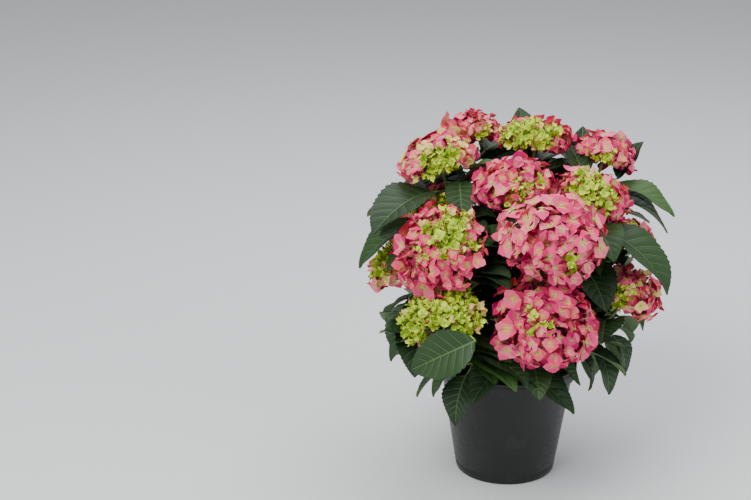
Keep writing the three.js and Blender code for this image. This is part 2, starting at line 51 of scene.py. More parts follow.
# The growth rule's values, as in the part's source
STEM_COUNT = 4
STEM_RING = 19
STEM_FIRST_BEARING = -100
STEM_HEIGHT = 40
STEM_FOOT_RADIUS = 5.6
STEM_TOP_RADIUS = 4.6
STEM_FLARE = 3.2
STEM_FLARE_HEIGHT = 5
STEM_LEAN = 0.22
FORK_SHARES = (0.34, 0.96)
LEAVING_FLAT = 1.7
LEAVING_RISE = 0.12
BEND_START = 0.36
BEND_END = 0.4
NECK_SHARE = 0.5
STUB_LENGTH = 17
STUB_RADIUS = 3.3
BOUGH_RADIUS = 2.9
MASS_STEM_RADIUS = 2.3
HEAD_STEM_RADIUS = 1.8
BOUGH_SHARE = 0.22
KNOT_STEP = 7
BEND_TICKS = 200
TICK_STEP = 1e-4
GAP = 0.3
POT_BASE_RADIUS = 55
POT_TOP_RADIUS = 75
POT_HEIGHT = 130
POT_WALL = 1.8
RIM_HEIGHT = 16
RIM_OVERHANG = 2.2
DRAIN_COUNT = 6
DRAIN_RADIUS = 5
DRAIN_RING = 40
SOIL_TOP = 116
CROWN_MIDDLE = np.array([12.0, 20.0, 0.0])
CROWN_RADIUS = 135
CROWN_LEVELS = (80, 250)
CROWN_REACH = (116, 186)
CROWN_TOP = 392
DOME_UP = (0.52, 0.8)
DOME_DOWN = (0.4, 0.5)
FLORET_SEAT = 0.84
FLORET_LOWEST = math.radians(112)
GOLDEN_ANGLE = math.pi * (3 - math.sqrt(5))
LEAF_LENGTH = 110
LEAF_VARIETY = (0.85, 1.1)
LEAF_WIDTH = 0.66
LEAF_FOLD = 0.3
LEAF_RISE = (0, 0.7)
LEAF_DROOP = (0.6, 1.2)
LEAF_STEM_TILT = 0.5
LEAF_BROADEST = 0.8
LEAF_ROUNDNESS = 0.85
PETIOLE_LENGTH = 24
PETIOLE_RADIUS = 1.7
FIRST_PAIR = 13
PAIR_SPACING = 20
PAIR_MARGIN = 5
PAIR_COUNT = 8
LEAF_STATIONS = (0.28, 0.7)
LEAF_SIZES = (1, 0.86, 0.72, 0.58)
LEAF_SIDES = 2
LEAF_TURNS = (0, 0.4, -0.4, 0.8, -0.8, 1.2, -1.2, 1.6, -1.6)
LEAF_TILTS = (0, 0.4, -0.4, 0.8)
SPACE_MARGIN = 2.6
LIMB_SPACE = 3
LIMB_CLEAR = 3.5
LEAF_CLEAR = 4.5
HEAD_CLEAR = 2
POT_CLEAR = 4
SAMPLES_ALONG = 11
SAMPLES_ACROSS = 4
STALK_SAMPLES = (0.45, 0.7, 0.9)
SEED = 4127
SHOOT_SEED_STEP = 1000
PAIR_SEED_STEP = 10
SLANT = 0.05
TINY = 1e-6

# Each flowering shoot: its name, its head's place and width, how far it leans out, how ripe it is,
# where its young florets are (a direction out of the head and half an angle in degrees), and its tones
SHOOTS = [
    ("top_middle", 3, 6, 329, 98, 0.5, 0.7, (0.15, -0.95, 0.1), 34, "rose pink pink magenta blush coral"),
    ("top_right", 91, 17, 316, 90, 0.55, 0.5, (-0.1, -0.75, 0.6), 52, "coral blush rose pink"),
    ("front_middle", 39, -84, 303, 118, 0.7, 1, (0.25, -0.9, -0.2), 12, "pink pink rose pink blush rose"),
    ("front_left", -81, -78, 285, 112, 1.15, 0.75, (0.1, -0.55, 0.75), 46, "coral rose coral rose pink"),
    ("low_middle", 29, -106, 217, 118, 0.8, 0.9, (-0.1, -0.7, 0.2), 13, "rose rose pink coral pink magenta"),
    ("low_left", -78, -106, 219, 94, 0.45, 0, (0, 0, 1), 180, "cream blush"),
    ("low_right", 131, -20, 215, 76, 0.7, 0.8, (-0.4, -0.8, 0.3), 20, "coral coral blush rose cream"),
    ("right", 137, 42, 256, 62, 0.8, 0.9, (-0.3, -0.6, 0.7), 26, "coral pink coral blush"),
    ("back_middle", 31, 86, 359, 90, 0.45, 0.3, (-0.35, -0.75, 0.55), 62, "pink coral rose"),
    ("back_right", 112, 90, 341, 76, 0.5, 0.8, (-0.3, -0.9, -0.1), 32, "coral pink pink blush"),
    ("back_left", -41, 124, 357, 72, 0.45, 0.8, (0.5, -0.8, 0), 30, "coral blush pink"),
    ("top_left", -78, 54, 345, 96, 0.5, 0.4, (0.1, -0.95, 0), 48, "blush cream coral pink cream"),
    ("left_bud", -84, 16, 299, 46, 0.4, 0, (0, 0, 1), 180, "cream"),
    ("rear_left", -98, 98, 268, 96, 0.8, 0.8, (-0.2, 0.8, 0.4), 30, "rose pink coral blush"),
    ("rear_middle", 22, 150, 276, 104, 0.8, 0.9, (0.3, 0.8, 0.2), 16, "pink rose pink blush magenta"),
    ("rear_right", 100, 128, 250, 90, 0.8, 0.5, (0.3, 0.6, 0.6), 50, "coral blush rose"),
    ("left", -122, 28, 232, 84, 0.8, 0.3, (-0.6, -0.3, 0.6), 60, "blush cream coral"),
]

# Tones of the florets: the petals' colour and the colour of the claws in their middle
TONES = {
    "lime": ((0.44, 0.60, 0.03), (0.30, 0.48, 0.02)),
    "pale_lime": ((0.64, 0.78, 0.065), (0.42, 0.60, 0.03)),
    "cream": ((0.80, 0.60, 0.22), (0.52, 0.60, 0.06)),
    "blush": ((0.88, 0.19, 0.26), (0.68, 0.62, 0.15)),
    "coral": ((0.79, 0.065, 0.155), (0.64, 0.50, 0.14)),
    "rose": ((0.77, 0.035, 0.17), (0.66, 0.42, 0.16)),
    "pink": ((0.84, 0.07, 0.225), (0.68, 0.58, 0.2)),
    "magenta": ((0.52, 0.01, 0.12), (0.5, 0.14, 0.14)),
}
YOUNG_TONES = ("lime", "lime", "pale_lime", "pale_lime", "pale_lime", "cream")
# The hidden inner florets are real, but take only the deeper tones as painted shade in the gaps of each head
HIDDEN_SHADE_TONES = ("rose", "coral", "magenta")
BUD_COLOUR = (0.36, 0.46, 0.1)
# Shades of a tone: pale and deep, each for pink tones and for green ones, and a middle one near the claw
# Pale sepals and tips are partly the sepals' own paler tint and partly painted highlight
PALE_AND_HIGHLIGHT_COLOURS = ((0.98, 0.25, 0.38), (0.86, 0.9, 0.22))
PALE_AND_HIGHLIGHT_SHARE = 0.38
# Deep sepals are partly the sepals' own deeper tint and partly painted shade
DEEP_AND_SHADE_FACTORS = ((0.7, 0.25, 0.6), (0.5, 0.62, 0.4))
MID_SHARE = 0.36

UP = np.array([0.0, 0.0, 1.0])


# Random streams and vectors
def random_stream(seed):
    state = seed & 0xFFFFFFFF

    def draw():
        nonlocal state
        state = (state + 0x6D2B79F5) & 0xFFFFFFFF
        mixed = ((state ^ state >> 15) * (1 | state)) & 0xFFFFFFFF
        mixed = ((mixed + (((mixed ^ mixed >> 7) * (61 | mixed)) & 0xFFFFFFFF)) & 0xFFFFFFFF) ^ mixed
        return (mixed ^ mixed >> 14) / 4294967296

    return draw


def between(pair, share):
    return pair[0] + (pair[1] - pair[0]) * share


def bearing(angle):
    return np.array([math.cos(angle), math.sin(angle), 0.0])


def unit(vector):
    return vector / np.linalg.norm(vector)


def square_to(first, second):
    return unit(np.cross(first, second + SLANT * bearing(1)))


# Stems and shoots
def plan_stems():
    stems = []
    for index in range(STEM_COUNT):
        angle = math.radians(STEM_FIRST_BEARING + 360 * index / STEM_COUNT)
        foot = STEM_RING * bearing(angle) + (SOIL_TOP + GAP) * UP
        growth = STEM_LEAN * STEM_HEIGHT * bearing(angle) + STEM_HEIGHT * UP
        name = f"stem_{index + 1}"
        stems.append(SimpleNamespace(name=name, angle=angle, foot=foot, growth=growth, shoots=[]))
    return stems


def stem_radius(share):
    flare = STEM_FLARE * np.exp(-share * STEM_HEIGHT / STEM_FLARE_HEIGHT)
    return STEM_FOOT_RADIUS + (STEM_TOP_RADIUS - STEM_FOOT_RADIUS) * share + flare


def plan_shoots(stems):
    shoots = []
    for index, row in enumerate(SHOOTS):
        name, x, y, z, width, lean, ripeness, young_way, young_angle, tones = row
        centre = np.array([x, y, z], float)
        out = (centre - CROWN_MIDDLE) * (1, 1, 0)
        axis = unit(UP + out * lean / CROWN_RADIUS)
        radius = width / 2
        up = radius * between(DOME_UP, ripeness)
        down = radius * between(DOME_DOWN, ripeness)
        heart = centre + axis * (down - up) / 2
        angle = math.atan2(out[1], out[0])
        stem = max(stems, key=lambda each: round(math.cos(each.angle - angle), 12))
        shoot = SimpleNamespace(
            name=name, index=index, ripeness=ripeness, axis=axis, radius=radius, up=up, down=down,
            heart=heart, young_way=unit(np.array(young_way, float)), young_angle=math.radians(young_angle),
            tones=tones.split(),
        )
        stem.shoots.append(shoot)
        shoots.append(shoot)
    for stem in stems:
        tip = stem.foot + stem.growth
        stem.shoots.sort(key=lambda each: (each.heart[2] - tip[2]) / math.hypot(*(each.heart - tip)[:2]))
        for order, shoot in enumerate(stem.shoots):
            shoot.start = stem.foot + stem.growth * between(FORK_SHARES, order / (len(stem.shoots) - 1))
    for shoot in shoots:
        bend_shoot(shoot)
    return shoots


def bend_shoot(shoot):
    foot = shoot.heart - NECK_SHARE * shoot.down * shoot.axis
    reach = np.linalg.norm(foot - shoot.start)
    toward = unit(foot - shoot.start)
    leaving = unit(toward + toward * (1, 1, 0) * LEAVING_FLAT + UP * LEAVING_RISE)
    shoot.poles = (
        shoot.start,
        shoot.start + leaving * BEND_START * reach,
        foot - shoot.axis * BEND_END * reach,
        foot,
    )
    ticks = np.linspace(0, 1, BEND_TICKS + 1)
    steps = np.linalg.norm(np.diff(bezier(shoot.poles, ticks), axis=0), axis=1)
    shoot.ticks = ticks
    shoot.lengths = np.concatenate([[0], np.cumsum(steps)])
    shoot.length = shoot.lengths[-1]
    shoot.bough_end = STUB_LENGTH + (shoot.length - STUB_LENGTH) * BOUGH_SHARE
    shoot.side = square_to(leaving, shoot.axis)
    knots = math.ceil(shoot.length / KNOT_STEP)
    shoot.knots = bezier(shoot.poles, tick_at(shoot, np.linspace(0, shoot.length, knots + 1)))
    shoot.random = random_stream(SEED + SHOOT_SEED_STEP * shoot.index - 1)
    shoot.phase = 2 * math.pi * shoot.random()


def bezier(poles, ticks):
    t = np.atleast_1d(ticks)[:, None]
    s = 1 - t
    return s**3 * poles[0] + 3 * s * s * t * poles[1] + 3 * s * t * t * poles[2] + t**3 * poles[3]


def tick_at(shoot, distance):
    return np.interp(distance, shoot.lengths, shoot.ticks)


def station_on(shoot, distance):
    tick = tick_at(shoot, min(distance, shoot.length))
    point = bezier(shoot.poles, tick)[0]
    near = bezier(shoot.poles, np.array([max(0, tick - TICK_STEP), min(1, tick + TICK_STEP)]))
    ahead = unit(near[1] - near[0])
    across = unit(shoot.side - ahead * shoot.side.dot(ahead))
    return point, across, np.cross(ahead, across)


# Distances that keep leaves and florets to their own space
def head_distance(shoot, points):
    offset = points - shoot.heart
    height = offset @ shoot.axis
    level = np.linalg.norm(offset - height[:, None] * shoot.axis, axis=1)
    dome = np.where(height > 0, shoot.up, shoot.down)
    scaled = np.hypot(level / shoot.radius, height / dome)
    return np.hypot(level, height) * (1 - 1 / np.maximum(scaled, TINY))


def distance_to(shoot, points):
    near = np.linalg.norm(points[:, None] - shoot.knots[None], axis=2).min(axis=1) - LIMB_SPACE
    return np.minimum(head_distance(shoot, points), near)


def is_taken(points, plan):
    level = (points[:, 2] - CROWN_LEVELS[0]) / (CROWN_LEVELS[1] - CROWN_LEVELS[0])
    if level.min() < 0 or points[:, 2].max() > CROWN_TOP:
        return True
    capped = np.minimum(1, level)
    reach = CROWN_REACH[0] + (CROWN_REACH[1] - CROWN_REACH[0]) * capped
    middle = CROWN_MIDDLE[None, :2] * capped[:, None]
    if (np.linalg.norm(points[:, :2] - middle, axis=1) > reach).any():
        return True
    out = np.linalg.norm(points[:, :2], axis=1)
    pot_reach = POT_TOP_RADIUS + RIM_OVERHANG + POT_CLEAR
    if ((out < pot_reach) & (points[:, 2] < POT_HEIGHT + POT_CLEAR)).any():
        return True
    low, high = points.min(axis=0), points.max(axis=0)
    for shoot in plan.shoots:
        reach = shoot.radius + HEAD_CLEAR
        if (high < shoot.heart - reach).any() or (low > shoot.heart + reach).any():
            continue
        if (head_distance(shoot, points) < HEAD_CLEAR).any():
            return True
    share = np.clip((points[:, 2] - SOIL_TOP) / STEM_HEIGHT, 0, 1)
    for stem in plan.stems:
        line = stem.foot + share[:, None] * stem.growth
        if (np.linalg.norm(line - points, axis=1) < stem_radius(share) + LIMB_CLEAR).any():
            return True
    clear = LIMB_SPACE + LIMB_CLEAR
    near = ((plan.knots > low - clear) & (plan.knots < high + clear)).all(axis=1)
    knots = plan.knots[near]
    return bool(len(knots)) and np.linalg.norm(points[:, None] - knots[None], axis=2).min() < clear


# Leaves
def blade_width(share):
    return np.maximum(0, np.sin(math.pi * share**LEAF_BROADEST)) ** LEAF_ROUNDNESS


def blade_points(leaf, share, side):
    rise = leaf.rise - leaf.droop * share
    level = leaf.length / leaf.droop * (math.sin(leaf.rise) - np.sin(rise))
    height = leaf.length / leaf.droop * (np.cos(rise) - math.cos(leaf.rise))
    half = 0.5 * LEAF_WIDTH * leaf.length * blade_width(share) * side
    lift = np.abs(half) * math.sin(LEAF_FOLD)
    return (
        leaf.root
        + (level - lift * np.sin(rise))[:, None] * leaf.outward
        + (height + lift * np.cos(rise))[:, None] * UP
        + (half * math.cos(LEAF_FOLD))[:, None] * leaf.across
    )


def sample_grid():
    cuts = np.array([0, *LEAF_STATIONS, 1])
    rows, columns = [], []
    for row in range(SAMPLES_ALONG + 1):
        share = row / SAMPLES_ALONG
        cut = min(int(np.searchsorted(cuts, share, side="right")) - 1, len(cuts) - 2)
        within = (share - cuts[cut]) / (cuts[cut + 1] - cuts[cut])
        for column in range(-SAMPLES_ACROSS, SAMPLES_ACROSS + 1):
            rows.append((cuts[cut], cuts[cut + 1], within))
            columns.append((np.sign(column), abs(column) / SAMPLES_ACROSS))
    return np.array(rows), np.array(columns)


SAMPLE_ROWS, SAMPLE_COLUMNS = sample_grid()


def leaf_samples(leaf):
    start, end, within = SAMPLE_ROWS.T
    side, share = SAMPLE_COLUMNS.T
    within = within[:, None]
    edge = between((blade_points(leaf, start, side), blade_points(leaf, end, side)), within)
    rib = between((blade_points(leaf, start, 0 * side), blade_points(leaf, end, 0 * side)), within)
    stalk = [between((leaf.node, leaf.root), part) for part in STALK_SAMPLES]
    return np.concatenate([stalk, between((rib, edge), share[:, None])])


def leaf_fits(leaf, plan, clear):
    points = leaf_samples(leaf)
    if is_taken(points, plan):
        return False
    low, high = points.min(axis=0) - clear, points.max(axis=0) + clear
    for other in plan.leaves:
        if (other.high < low).any() or (other.low > high).any():
            continue
        near = other.samples[((other.samples > low) & (other.samples < high)).all(axis=1)]
        if len(near) and np.linalg.norm(points[:, None] - near[None], axis=2).min() <= clear:
            return False
    leaf.samples, leaf.low, leaf.high = points, points.min(axis=0), points.max(axis=0)
    return True


def grow_leaf(station, angle, rise, droop, size):
    point, across, third = station
    radial = across * math.cos(angle) + third * math.sin(angle)
    outward = unit(radial * (1, 1, 0))
    leaf = SimpleNamespace(node=point, outward=outward, droop=droop, length=LEAF_LENGTH * size, roll=0)
    leaf.rise = rise + LEAF_STEM_TILT * math.asin(radial[2])
    leaf.across = np.cross(UP, outward)
    stalk = PETIOLE_LENGTH * math.sqrt(size)
    leaf.root = point + stalk * (math.cos(leaf.rise) * outward + math.sin(leaf.rise) * UP)
    return leaf


def place_leaf(station, angle, random, plan, sizes, clear):
    rise = between(LEAF_RISE, random())
    droop = between(LEAF_DROOP, random())
    full = between(LEAF_VARIETY, random())
    for size in sizes:
        for tilt in LEAF_TILTS:
            for turn in LEAF_TURNS:
                leaf = grow_leaf(station, angle + turn, rise + tilt, droop, full * size)
                if leaf_fits(leaf, plan, clear):
                    plan.leaves.append(leaf)
                    return


def place_leaves(plan, sizes, clear, sides, seed, shift):
    for pair in range(PAIR_COUNT):
        for shoot in plan.shoots:
            neck = NECK_SHARE * shoot.down + FIRST_PAIR
            distance = shoot.length - neck - pair * PAIR_SPACING - shift
            if distance < shoot.bough_end + PAIR_MARGIN:
                continue
            station = station_on(shoot, distance)
            for side in range(sides):
                random = random_stream(seed + SHOOT_SEED_STEP * shoot.index + PAIR_SEED_STEP * pair + side)
                angle = shoot.phase + pair * math.pi / 2 + side * 2 * math.pi / sides
                place_leaf(station, angle, random, plan, sizes, clear)


# Two more passes of the rule, closer together, fill the inside of the crown with small leaves
INNER_SIZES = (0.62, 0.48, 0.36)
INNER_CLEAR = 2.4
INNER_SIDES = 3
INNER_SHIFT = 8
CORE_SIZES = (0.5, 0.38, 0.28)
CORE_SHIFT = 15

stems = plan_stems()
shoots = plan_shoots(stems)
all_knots = np.concatenate([shoot.knots for shoot in shoots])
plan = SimpleNamespace(stems=stems, shoots=shoots, leaves=[], knots=all_knots)
place_leaves(plan, LEAF_SIZES, LEAF_CLEAR, LEAF_SIDES, SEED, 0)
OUTER_COUNT = len(plan.leaves)
place_leaves(plan, INNER_SIZES, INNER_CLEAR, INNER_SIDES, SEED + 1, INNER_SHIFT)
place_leaves(plan, CORE_SIZES, INNER_CLEAR, INNER_SIDES, SEED + 2, CORE_SHIFT)


# Node groups, and the two that the materials share
def add_node(tree, kind, sockets=None, **fields):
    node = tree.nodes.new(kind)
    for label, value in fields.items():
        setattr(node, label, value)
    for label, value in (sockets or {}).items():
        node.inputs[label].default_value = value
    return node


def wire(tree, *joins):
    """Links, each from a node's output to a node's input"""
    for source, output, target, entry in joins:
        tree.links.new(source.outputs[output], target.inputs[entry])


def node_group(name, kind, inputs, outputs):
    group = bpy.data.node_groups.new(name, kind)
    for way, sockets in (("INPUT", inputs), ("OUTPUT", outputs)):
        for label, form in sockets.items():
            group.interface.new_socket(label, in_out=way, socket_type=f"NodeSocket{form}")
    return group, add_node(group, "NodeGroupInput"), add_node(group, "NodeGroupOutput")


BLOTCH_SOFTNESS = 0.08


def grain_group():
    inputs = {"Scale": "Float", "Stretch": "Vector", "Low": "Float", "High": "Float"}
    outputs = {"Height": "Float", "Shade": "Float"}
    group, start, end = node_group("grain", "ShaderNodeTree", inputs, outputs)
    place = add_node(group, "ShaderNodeTexCoord")
    stretch = add_node(group, "ShaderNodeVectorMath", operation="MULTIPLY")
    noise = add_node(group, "ShaderNodeTexNoise", {"Detail": 5})
    shade = add_node(group, "ShaderNodeMapRange", {"From Min": 0.3, "From Max": 0.7})
    wire(
        group,
        (place, "Object", stretch, 0),
        (start, "Stretch", stretch, 1),
        (stretch, 0, noise, "Vector"),
        (start, "Scale", noise, "Scale"),
        (noise, "Fac", shade, "Value"),
        (start, "Low", shade, "To Min"),
        (start, "High", shade, "To Max"),
        (noise, "Fac", end, "Height"),
        (shade, "Result", end, "Shade"),
    )
    return group


def blotch_group():
    inputs = {"Scale": "Float", "Edge": "Float", "Ground": "Color", "Blotch": "Color"}
    group, start, end = node_group("blotches", "ShaderNodeTree", inputs, {"Color": "Color"})
    place = add_node(group, "ShaderNodeTexCoord")
    noise = add_node(group, "ShaderNodeTexNoise", {"Detail": 6, "Roughness": 0.65})
    low = add_node(group, "ShaderNodeMath", {1: BLOTCH_SOFTNESS}, operation="SUBTRACT")
    mask = add_node(group, "ShaderNodeMapRange", interpolation_type="SMOOTHSTEP")
    mix = add_node(group, "ShaderNodeMix", data_type="RGBA")
    wire(
        group,
        (place, "Object", noise, "Vector"),
        (start, "Scale", noise, "Scale"),
        (start, "Edge", low, 0),
        (noise, "Fac", mask, "Value"),
        (low, 0, mask, "From Min"),
        (start, "Edge", mask, "From Max"),
        (mask, "Result", mix, "Factor"),
        (start, "Ground", mix, "A"),
        (start, "Blotch", mix, "B"),
        (mix, "Result", end, "Color"),
    )
    return group


GRAIN = grain_group()
BLOTCHES = blotch_group()


def finish(name, colour, roughness, grain, depth=0.0002, spread=0.08, stretch=(1, 1, 1), blotch=None,
           sheen=0.5):
    """A material with grain in its relief and roughness; blotch gives a second colour, scale and edge"""
    material = bpy.data.materials.new(name)
    material.use_nodes = True
    tree = material.node_tree
    shader = tree.nodes["Principled BSDF"]
    shader.inputs["Base Color"].default_value = (*colour, 1)
    shader.inputs["Specular IOR Level"].default_value = sheen
    values = {"Scale": grain, "Stretch": stretch, "Low": roughness - spread, "High": roughness + spread}
    texture = add_node(tree, "ShaderNodeGroup", values, node_tree=GRAIN)
    bump = add_node(tree, "ShaderNodeBump", {"Distance": depth})
    wire(tree, (texture, "Height", bump, "Height"), (bump, "Normal", shader, "Normal"),
         (texture, "Shade", shader, "Roughness"))
    if blotch:
        second, scale, edge = blotch
        values = {"Ground": (*colour, 1), "Blotch": (*second, 1), "Scale": scale, "Edge": edge}
        patches = add_node(tree, "ShaderNodeGroup", values, node_tree=BLOTCHES)
        wire(tree, (patches, "Color", shader, "Base Color"))
    material.diffuse_color = (*colour, 1)
    return material


LEAF_GRAIN = 900
LEAF_DEPTH = 0.00012
LEAF_SHEEN = 0.3
LEAF_COLOURS = (
    ("leaf_dark", (0.015, 0.038, 0.012), 0.52),
    ("leaf_green", (0.022, 0.056, 0.015), 0.52),
    ("leaf_fresh", (0.044, 0.1, 0.022), 0.54),
)
LEAF_FINISHES = [
    finish(name, colour, roughness, LEAF_GRAIN, LEAF_DEPTH, sheen=LEAF_SHEEN)
    for name, colour, roughness in LEAF_COLOURS
]
BACK_FINISH = finish("leaf_underside", (0.12, 0.2, 0.07), 0.68, LEAF_GRAIN, LEAF_DEPTH)
VEIN_FINISH = finish("leaf_vein", (0.068, 0.136, 0.038), 0.5, LEAF_GRAIN)
TWIG_FINISH = finish("green_twig", (0.14, 0.2, 0.055), 0.5, grain=700)
PEDICEL_FINISH = finish("floret_stalk", (0.32, 0.3, 0.12), 0.6, grain=700)
BUD_FINISH = finish("floret_bud", BUD_COLOUR, 0.5, grain=900)
BARK_FINISH = finish("stem_bark", (0.2, 0.145, 0.085), 0.82, grain=420, depth=0.0008, stretch=(1, 1, 0.25),
                     blotch=((0.075, 0.052, 0.032), 260, 0.55))
SHOOT_FINISH = finish("bough_bark", (0.15, 0.17, 0.06), 0.66, grain=420, depth=0.0004, stretch=(1, 1, 0.3),
                      blotch=((0.14, 0.095, 0.05), 240, 0.52))
POT_FINISH = finish("pot_plastic", (0.0075, 0.0095, 0.0085), 0.42, grain=260, depth=0.00006,
                    blotch=((0.0135, 0.0135, 0.012), 30, 0.62), sheen=0.4)
SOIL_FINISH = finish("potting_soil", (0.035, 0.022, 0.014), 0.95, grain=520, depth=0.0012, spread=0.04,
                     blotch=((0.085, 0.056, 0.034), 420, 0.6))
CRUMB_FINISH = finish("soil_crumb", (0.055, 0.034, 0.02), 0.95, grain=800, depth=0.0006, spread=0.04,
                      blotch=((0.12, 0.08, 0.05), 150, 0.6))


# Objects and meshes
def new_object(name, data):
    made = bpy.data.objects.new(name, data)
    bpy.context.scene.collection.objects.link(made)
    return made


def mesh_object(name, points, faces, materials, face_slots=None, smooth=True):
    mesh = bpy.data.meshes.new(name)
    mesh.from_pydata([tuple(point) for point in points], [], [tuple(face) for face in faces])
    for material in materials:
        mesh.materials.append(material)
    if face_slots is not None:
        mesh.polygons.foreach_set("material_index", face_slots)
    if smooth:
        mesh.polygons.foreach_set("use_smooth", [True] * len(mesh.polygons))
    mesh.update()
    return new_object(name, mesh)


def evaluated_mesh(source):
    graph = bpy.context.evaluated_depsgraph_get()
    return bpy.data.meshes.new_from_object(source.evaluated_get(graph), depsgraph=graph)


class Bundle:
    """Points and faces of many small shapes that become one piece"""

    def __init__(self):
        self.points, self.faces, self.slots = [], [], []
        self.count = 0

    def add(self, points, faces, slot=0):
        self.points.append(np.asarray(points, float))
        self.faces.extend(tuple(corner + self.count for corner in face) for face in faces)
        self.slots.extend([slot] * len(faces) if np.isscalar(slot) else slot)
        self.count += len(points)

    def piece(self, name, materials):
        return mesh_object(name, np.concatenate(self.points) * MM, self.faces, materials, self.slots)


def grid_faces(rows, columns):
    faces = []
    for row in range(rows - 1):
        for column in range(columns - 1):
            a = row * columns + column
            faces.append((a, a + 1, a + columns + 1, a + columns))
    return faces


def ring_faces(rings, sides, start=0):
    """Faces round each pair of neighbouring rings of points, which follow each other from start"""
    faces = []
    for ring in range(rings - 1):
        for corner in range(sides):
            a, b = start + ring * sides + corner, start + ring * sides + (corner + 1) % sides
            faces.append((a, b, b + sides, a + sides))
    return faces


def turned_over(faces):
    """The same faces, facing the other way"""
    return [(a, d, c, b) for a, b, c, d in faces]


def tube(middles, radii, sides, across=None, relief=None):
    """A closed tube round a row of points; relief gives each ring's own factor for each side"""
    middles = np.asarray(middles, float)
    ahead = np.gradient(middles, axis=0)
    ahead /= np.linalg.norm(ahead, axis=1)[:, None]
    side = square_to(ahead[0], UP) if across is None else across
    rings = []
    angles = 2 * math.pi * np.arange(sides) / sides
    for ring, (middle, way, radius) in enumerate(zip(middles, ahead, radii)):
        side = unit(side - way * side.dot(way))
        third = np.cross(way, side)
        reach = radius * (np.ones(sides) if relief is None else relief[ring])
        rings.append(
            middle + np.outer(reach * np.cos(angles), side) + np.outer(reach * np.sin(angles), third)
        )
    points = np.concatenate([*rings, middles[:1], middles[-1:]])
    count = len(middles)
    faces = ring_faces(count, sides)
    foot, tip = count * sides, count * sides + 1
    for corner in range(sides):
        following = (corner + 1) % sides
        faces.append((foot, following, corner))
        faces.append((tip, (count - 1) * sides + corner, (count - 1) * sides + following))
    return points, faces


# Leaves in detail: toothed margins, sunken veins with raised tissue between them, and a pale rib
BLADE_ROWS = 37
BLADE_COLUMNS = 11
BACK_ROWS = 19
BACK_COLUMNS = 7
BACK_DEPTH = 0.45
BACK_REACH = 0.93
TOOTH_DEPTH = 0.07
VEIN_COUNT = 9
VEIN_PAIRS = 7
VEIN_SLANT = 0.2
VEIN_RELIEF = 0.011
PUFF_FULLNESS = 0.7
PUFF_MARGIN = 4
PUFF_RIB = 6
PUFF_ENDS = 0.4
MARGIN_WAVE = 0.02
WAVE_RATE = 11
VEIN_LIFT = 0.22
RIB_LINE = np.linspace(0.01, 0.97, 14)
RIB_WIDTH = 1.1
RIB_TAPER = 0.85
RIB_NARROWEST = 0.12
VEIN_LINE = np.linspace(0, 0.9, 6)
VEIN_WIDTH = 0.42
VEIN_TAPER = 0.3
PETIOLE_SHAPE = np.array([1.25, 0.95, 0.85, 0.85, 0.7])
PETIOLE_SIDES = 6
PETIOLE_SAG = 0.08
FULL_LEAF = 80


def along_vein(line, side):
    """The share along the blade of a side vein that leaves the rib at this line, once out at this side"""
    return line + VEIN_SLANT * np.abs(side) * 4 * line * (1 - line)


def leaf_surface(leaf, line, side, lift=0, relief=VEIN_RELIEF):
    """Points of the blade, which turns about its heading by its roll"""
    share = along_vein(line, side)
    puff = np.abs(np.sin(math.pi * (line * VEIN_COUNT + 0.5))) ** PUFF_FULLNESS
    puff = puff * (1 - np.abs(side) ** PUFF_MARGIN) * np.minimum(1, PUFF_RIB * np.abs(side))
    puff = puff * np.sin(math.pi * line) ** PUFF_ENDS
    wave = np.sin(share * WAVE_RATE + leaf.wave) * np.abs(side) ** 2 * MARGIN_WAVE
    rise = leaf.rise - leaf.droop * share
    normal = -np.sin(rise)[:, None] * leaf.outward + np.cos(rise)[:, None] * UP
    height = leaf.length * (relief * puff + wave) + lift
    points = blade_points(leaf, share, side) + height[:, None] * normal
    if not leaf.roll:
        return points
    turn = np.array(Matrix.Rotation(leaf.roll, 3, Vector(leaf.outward)))
    return leaf.root + (points - leaf.root) @ turn.T


def add_blade(bundle, leaf, slot):
    line = np.repeat(np.linspace(0, 1, BLADE_ROWS), BLADE_COLUMNS)
    side = np.tile(np.linspace(1, -1, BLADE_COLUMNS), BLADE_ROWS)
    is_notch = (np.abs(side) == 1) & (np.repeat(np.arange(BLADE_ROWS) % 2, BLADE_COLUMNS) == 0)
    points = leaf_surface(leaf, line, np.where(is_notch, (1 - TOOTH_DEPTH) * side, side))
    bundle.add(points, grid_faces(BLADE_ROWS, BLADE_COLUMNS), slot)


def add_back(bundle, leaf):
    line = np.repeat(np.linspace(0, 1, BACK_ROWS), BACK_COLUMNS)
    side = np.tile(np.linspace(-BACK_REACH, BACK_REACH, BACK_COLUMNS), BACK_ROWS)
    bundle.add(leaf_surface(leaf, line, side, -BACK_DEPTH, 0), grid_faces(BACK_ROWS, BACK_COLUMNS))


def add_ribbon(bundle, leaf, line, side):
    """One vein's ribbon over the blade and another under it"""
    faces = [(a, a + 1, a + 3, a + 2) for a in range(0, len(line) - 2, 2)]
    bundle.add(leaf_surface(leaf, line, side, VEIN_LIFT, 0), faces)
    bundle.add(leaf_surface(leaf, line, side, -BACK_DEPTH - VEIN_LIFT, 0), turned_over(faces))


def add_veins(bundle, leaf):
    half = 0.5 * LEAF_WIDTH * leaf.length * np.maximum(blade_width(RIB_LINE), RIB_NARROWEST)
    reach = (RIB_WIDTH - RIB_TAPER * RIB_LINE) / half
    add_ribbon(bundle, leaf, np.repeat(RIB_LINE, 2), np.stack([reach, -reach], axis=1).ravel())
    for pair in range(VEIN_PAIRS):
        for side in (-1, 1):
            thick = side * (VEIN_WIDTH - VEIN_TAPER * VEIN_LINE) / leaf.length
            middle = (pair + 0.5) / VEIN_COUNT
            lines = np.stack([middle - thick, middle + thick], axis=1).ravel()
            add_ribbon(bundle, leaf, lines, side * np.repeat(VEIN_LINE, 2))


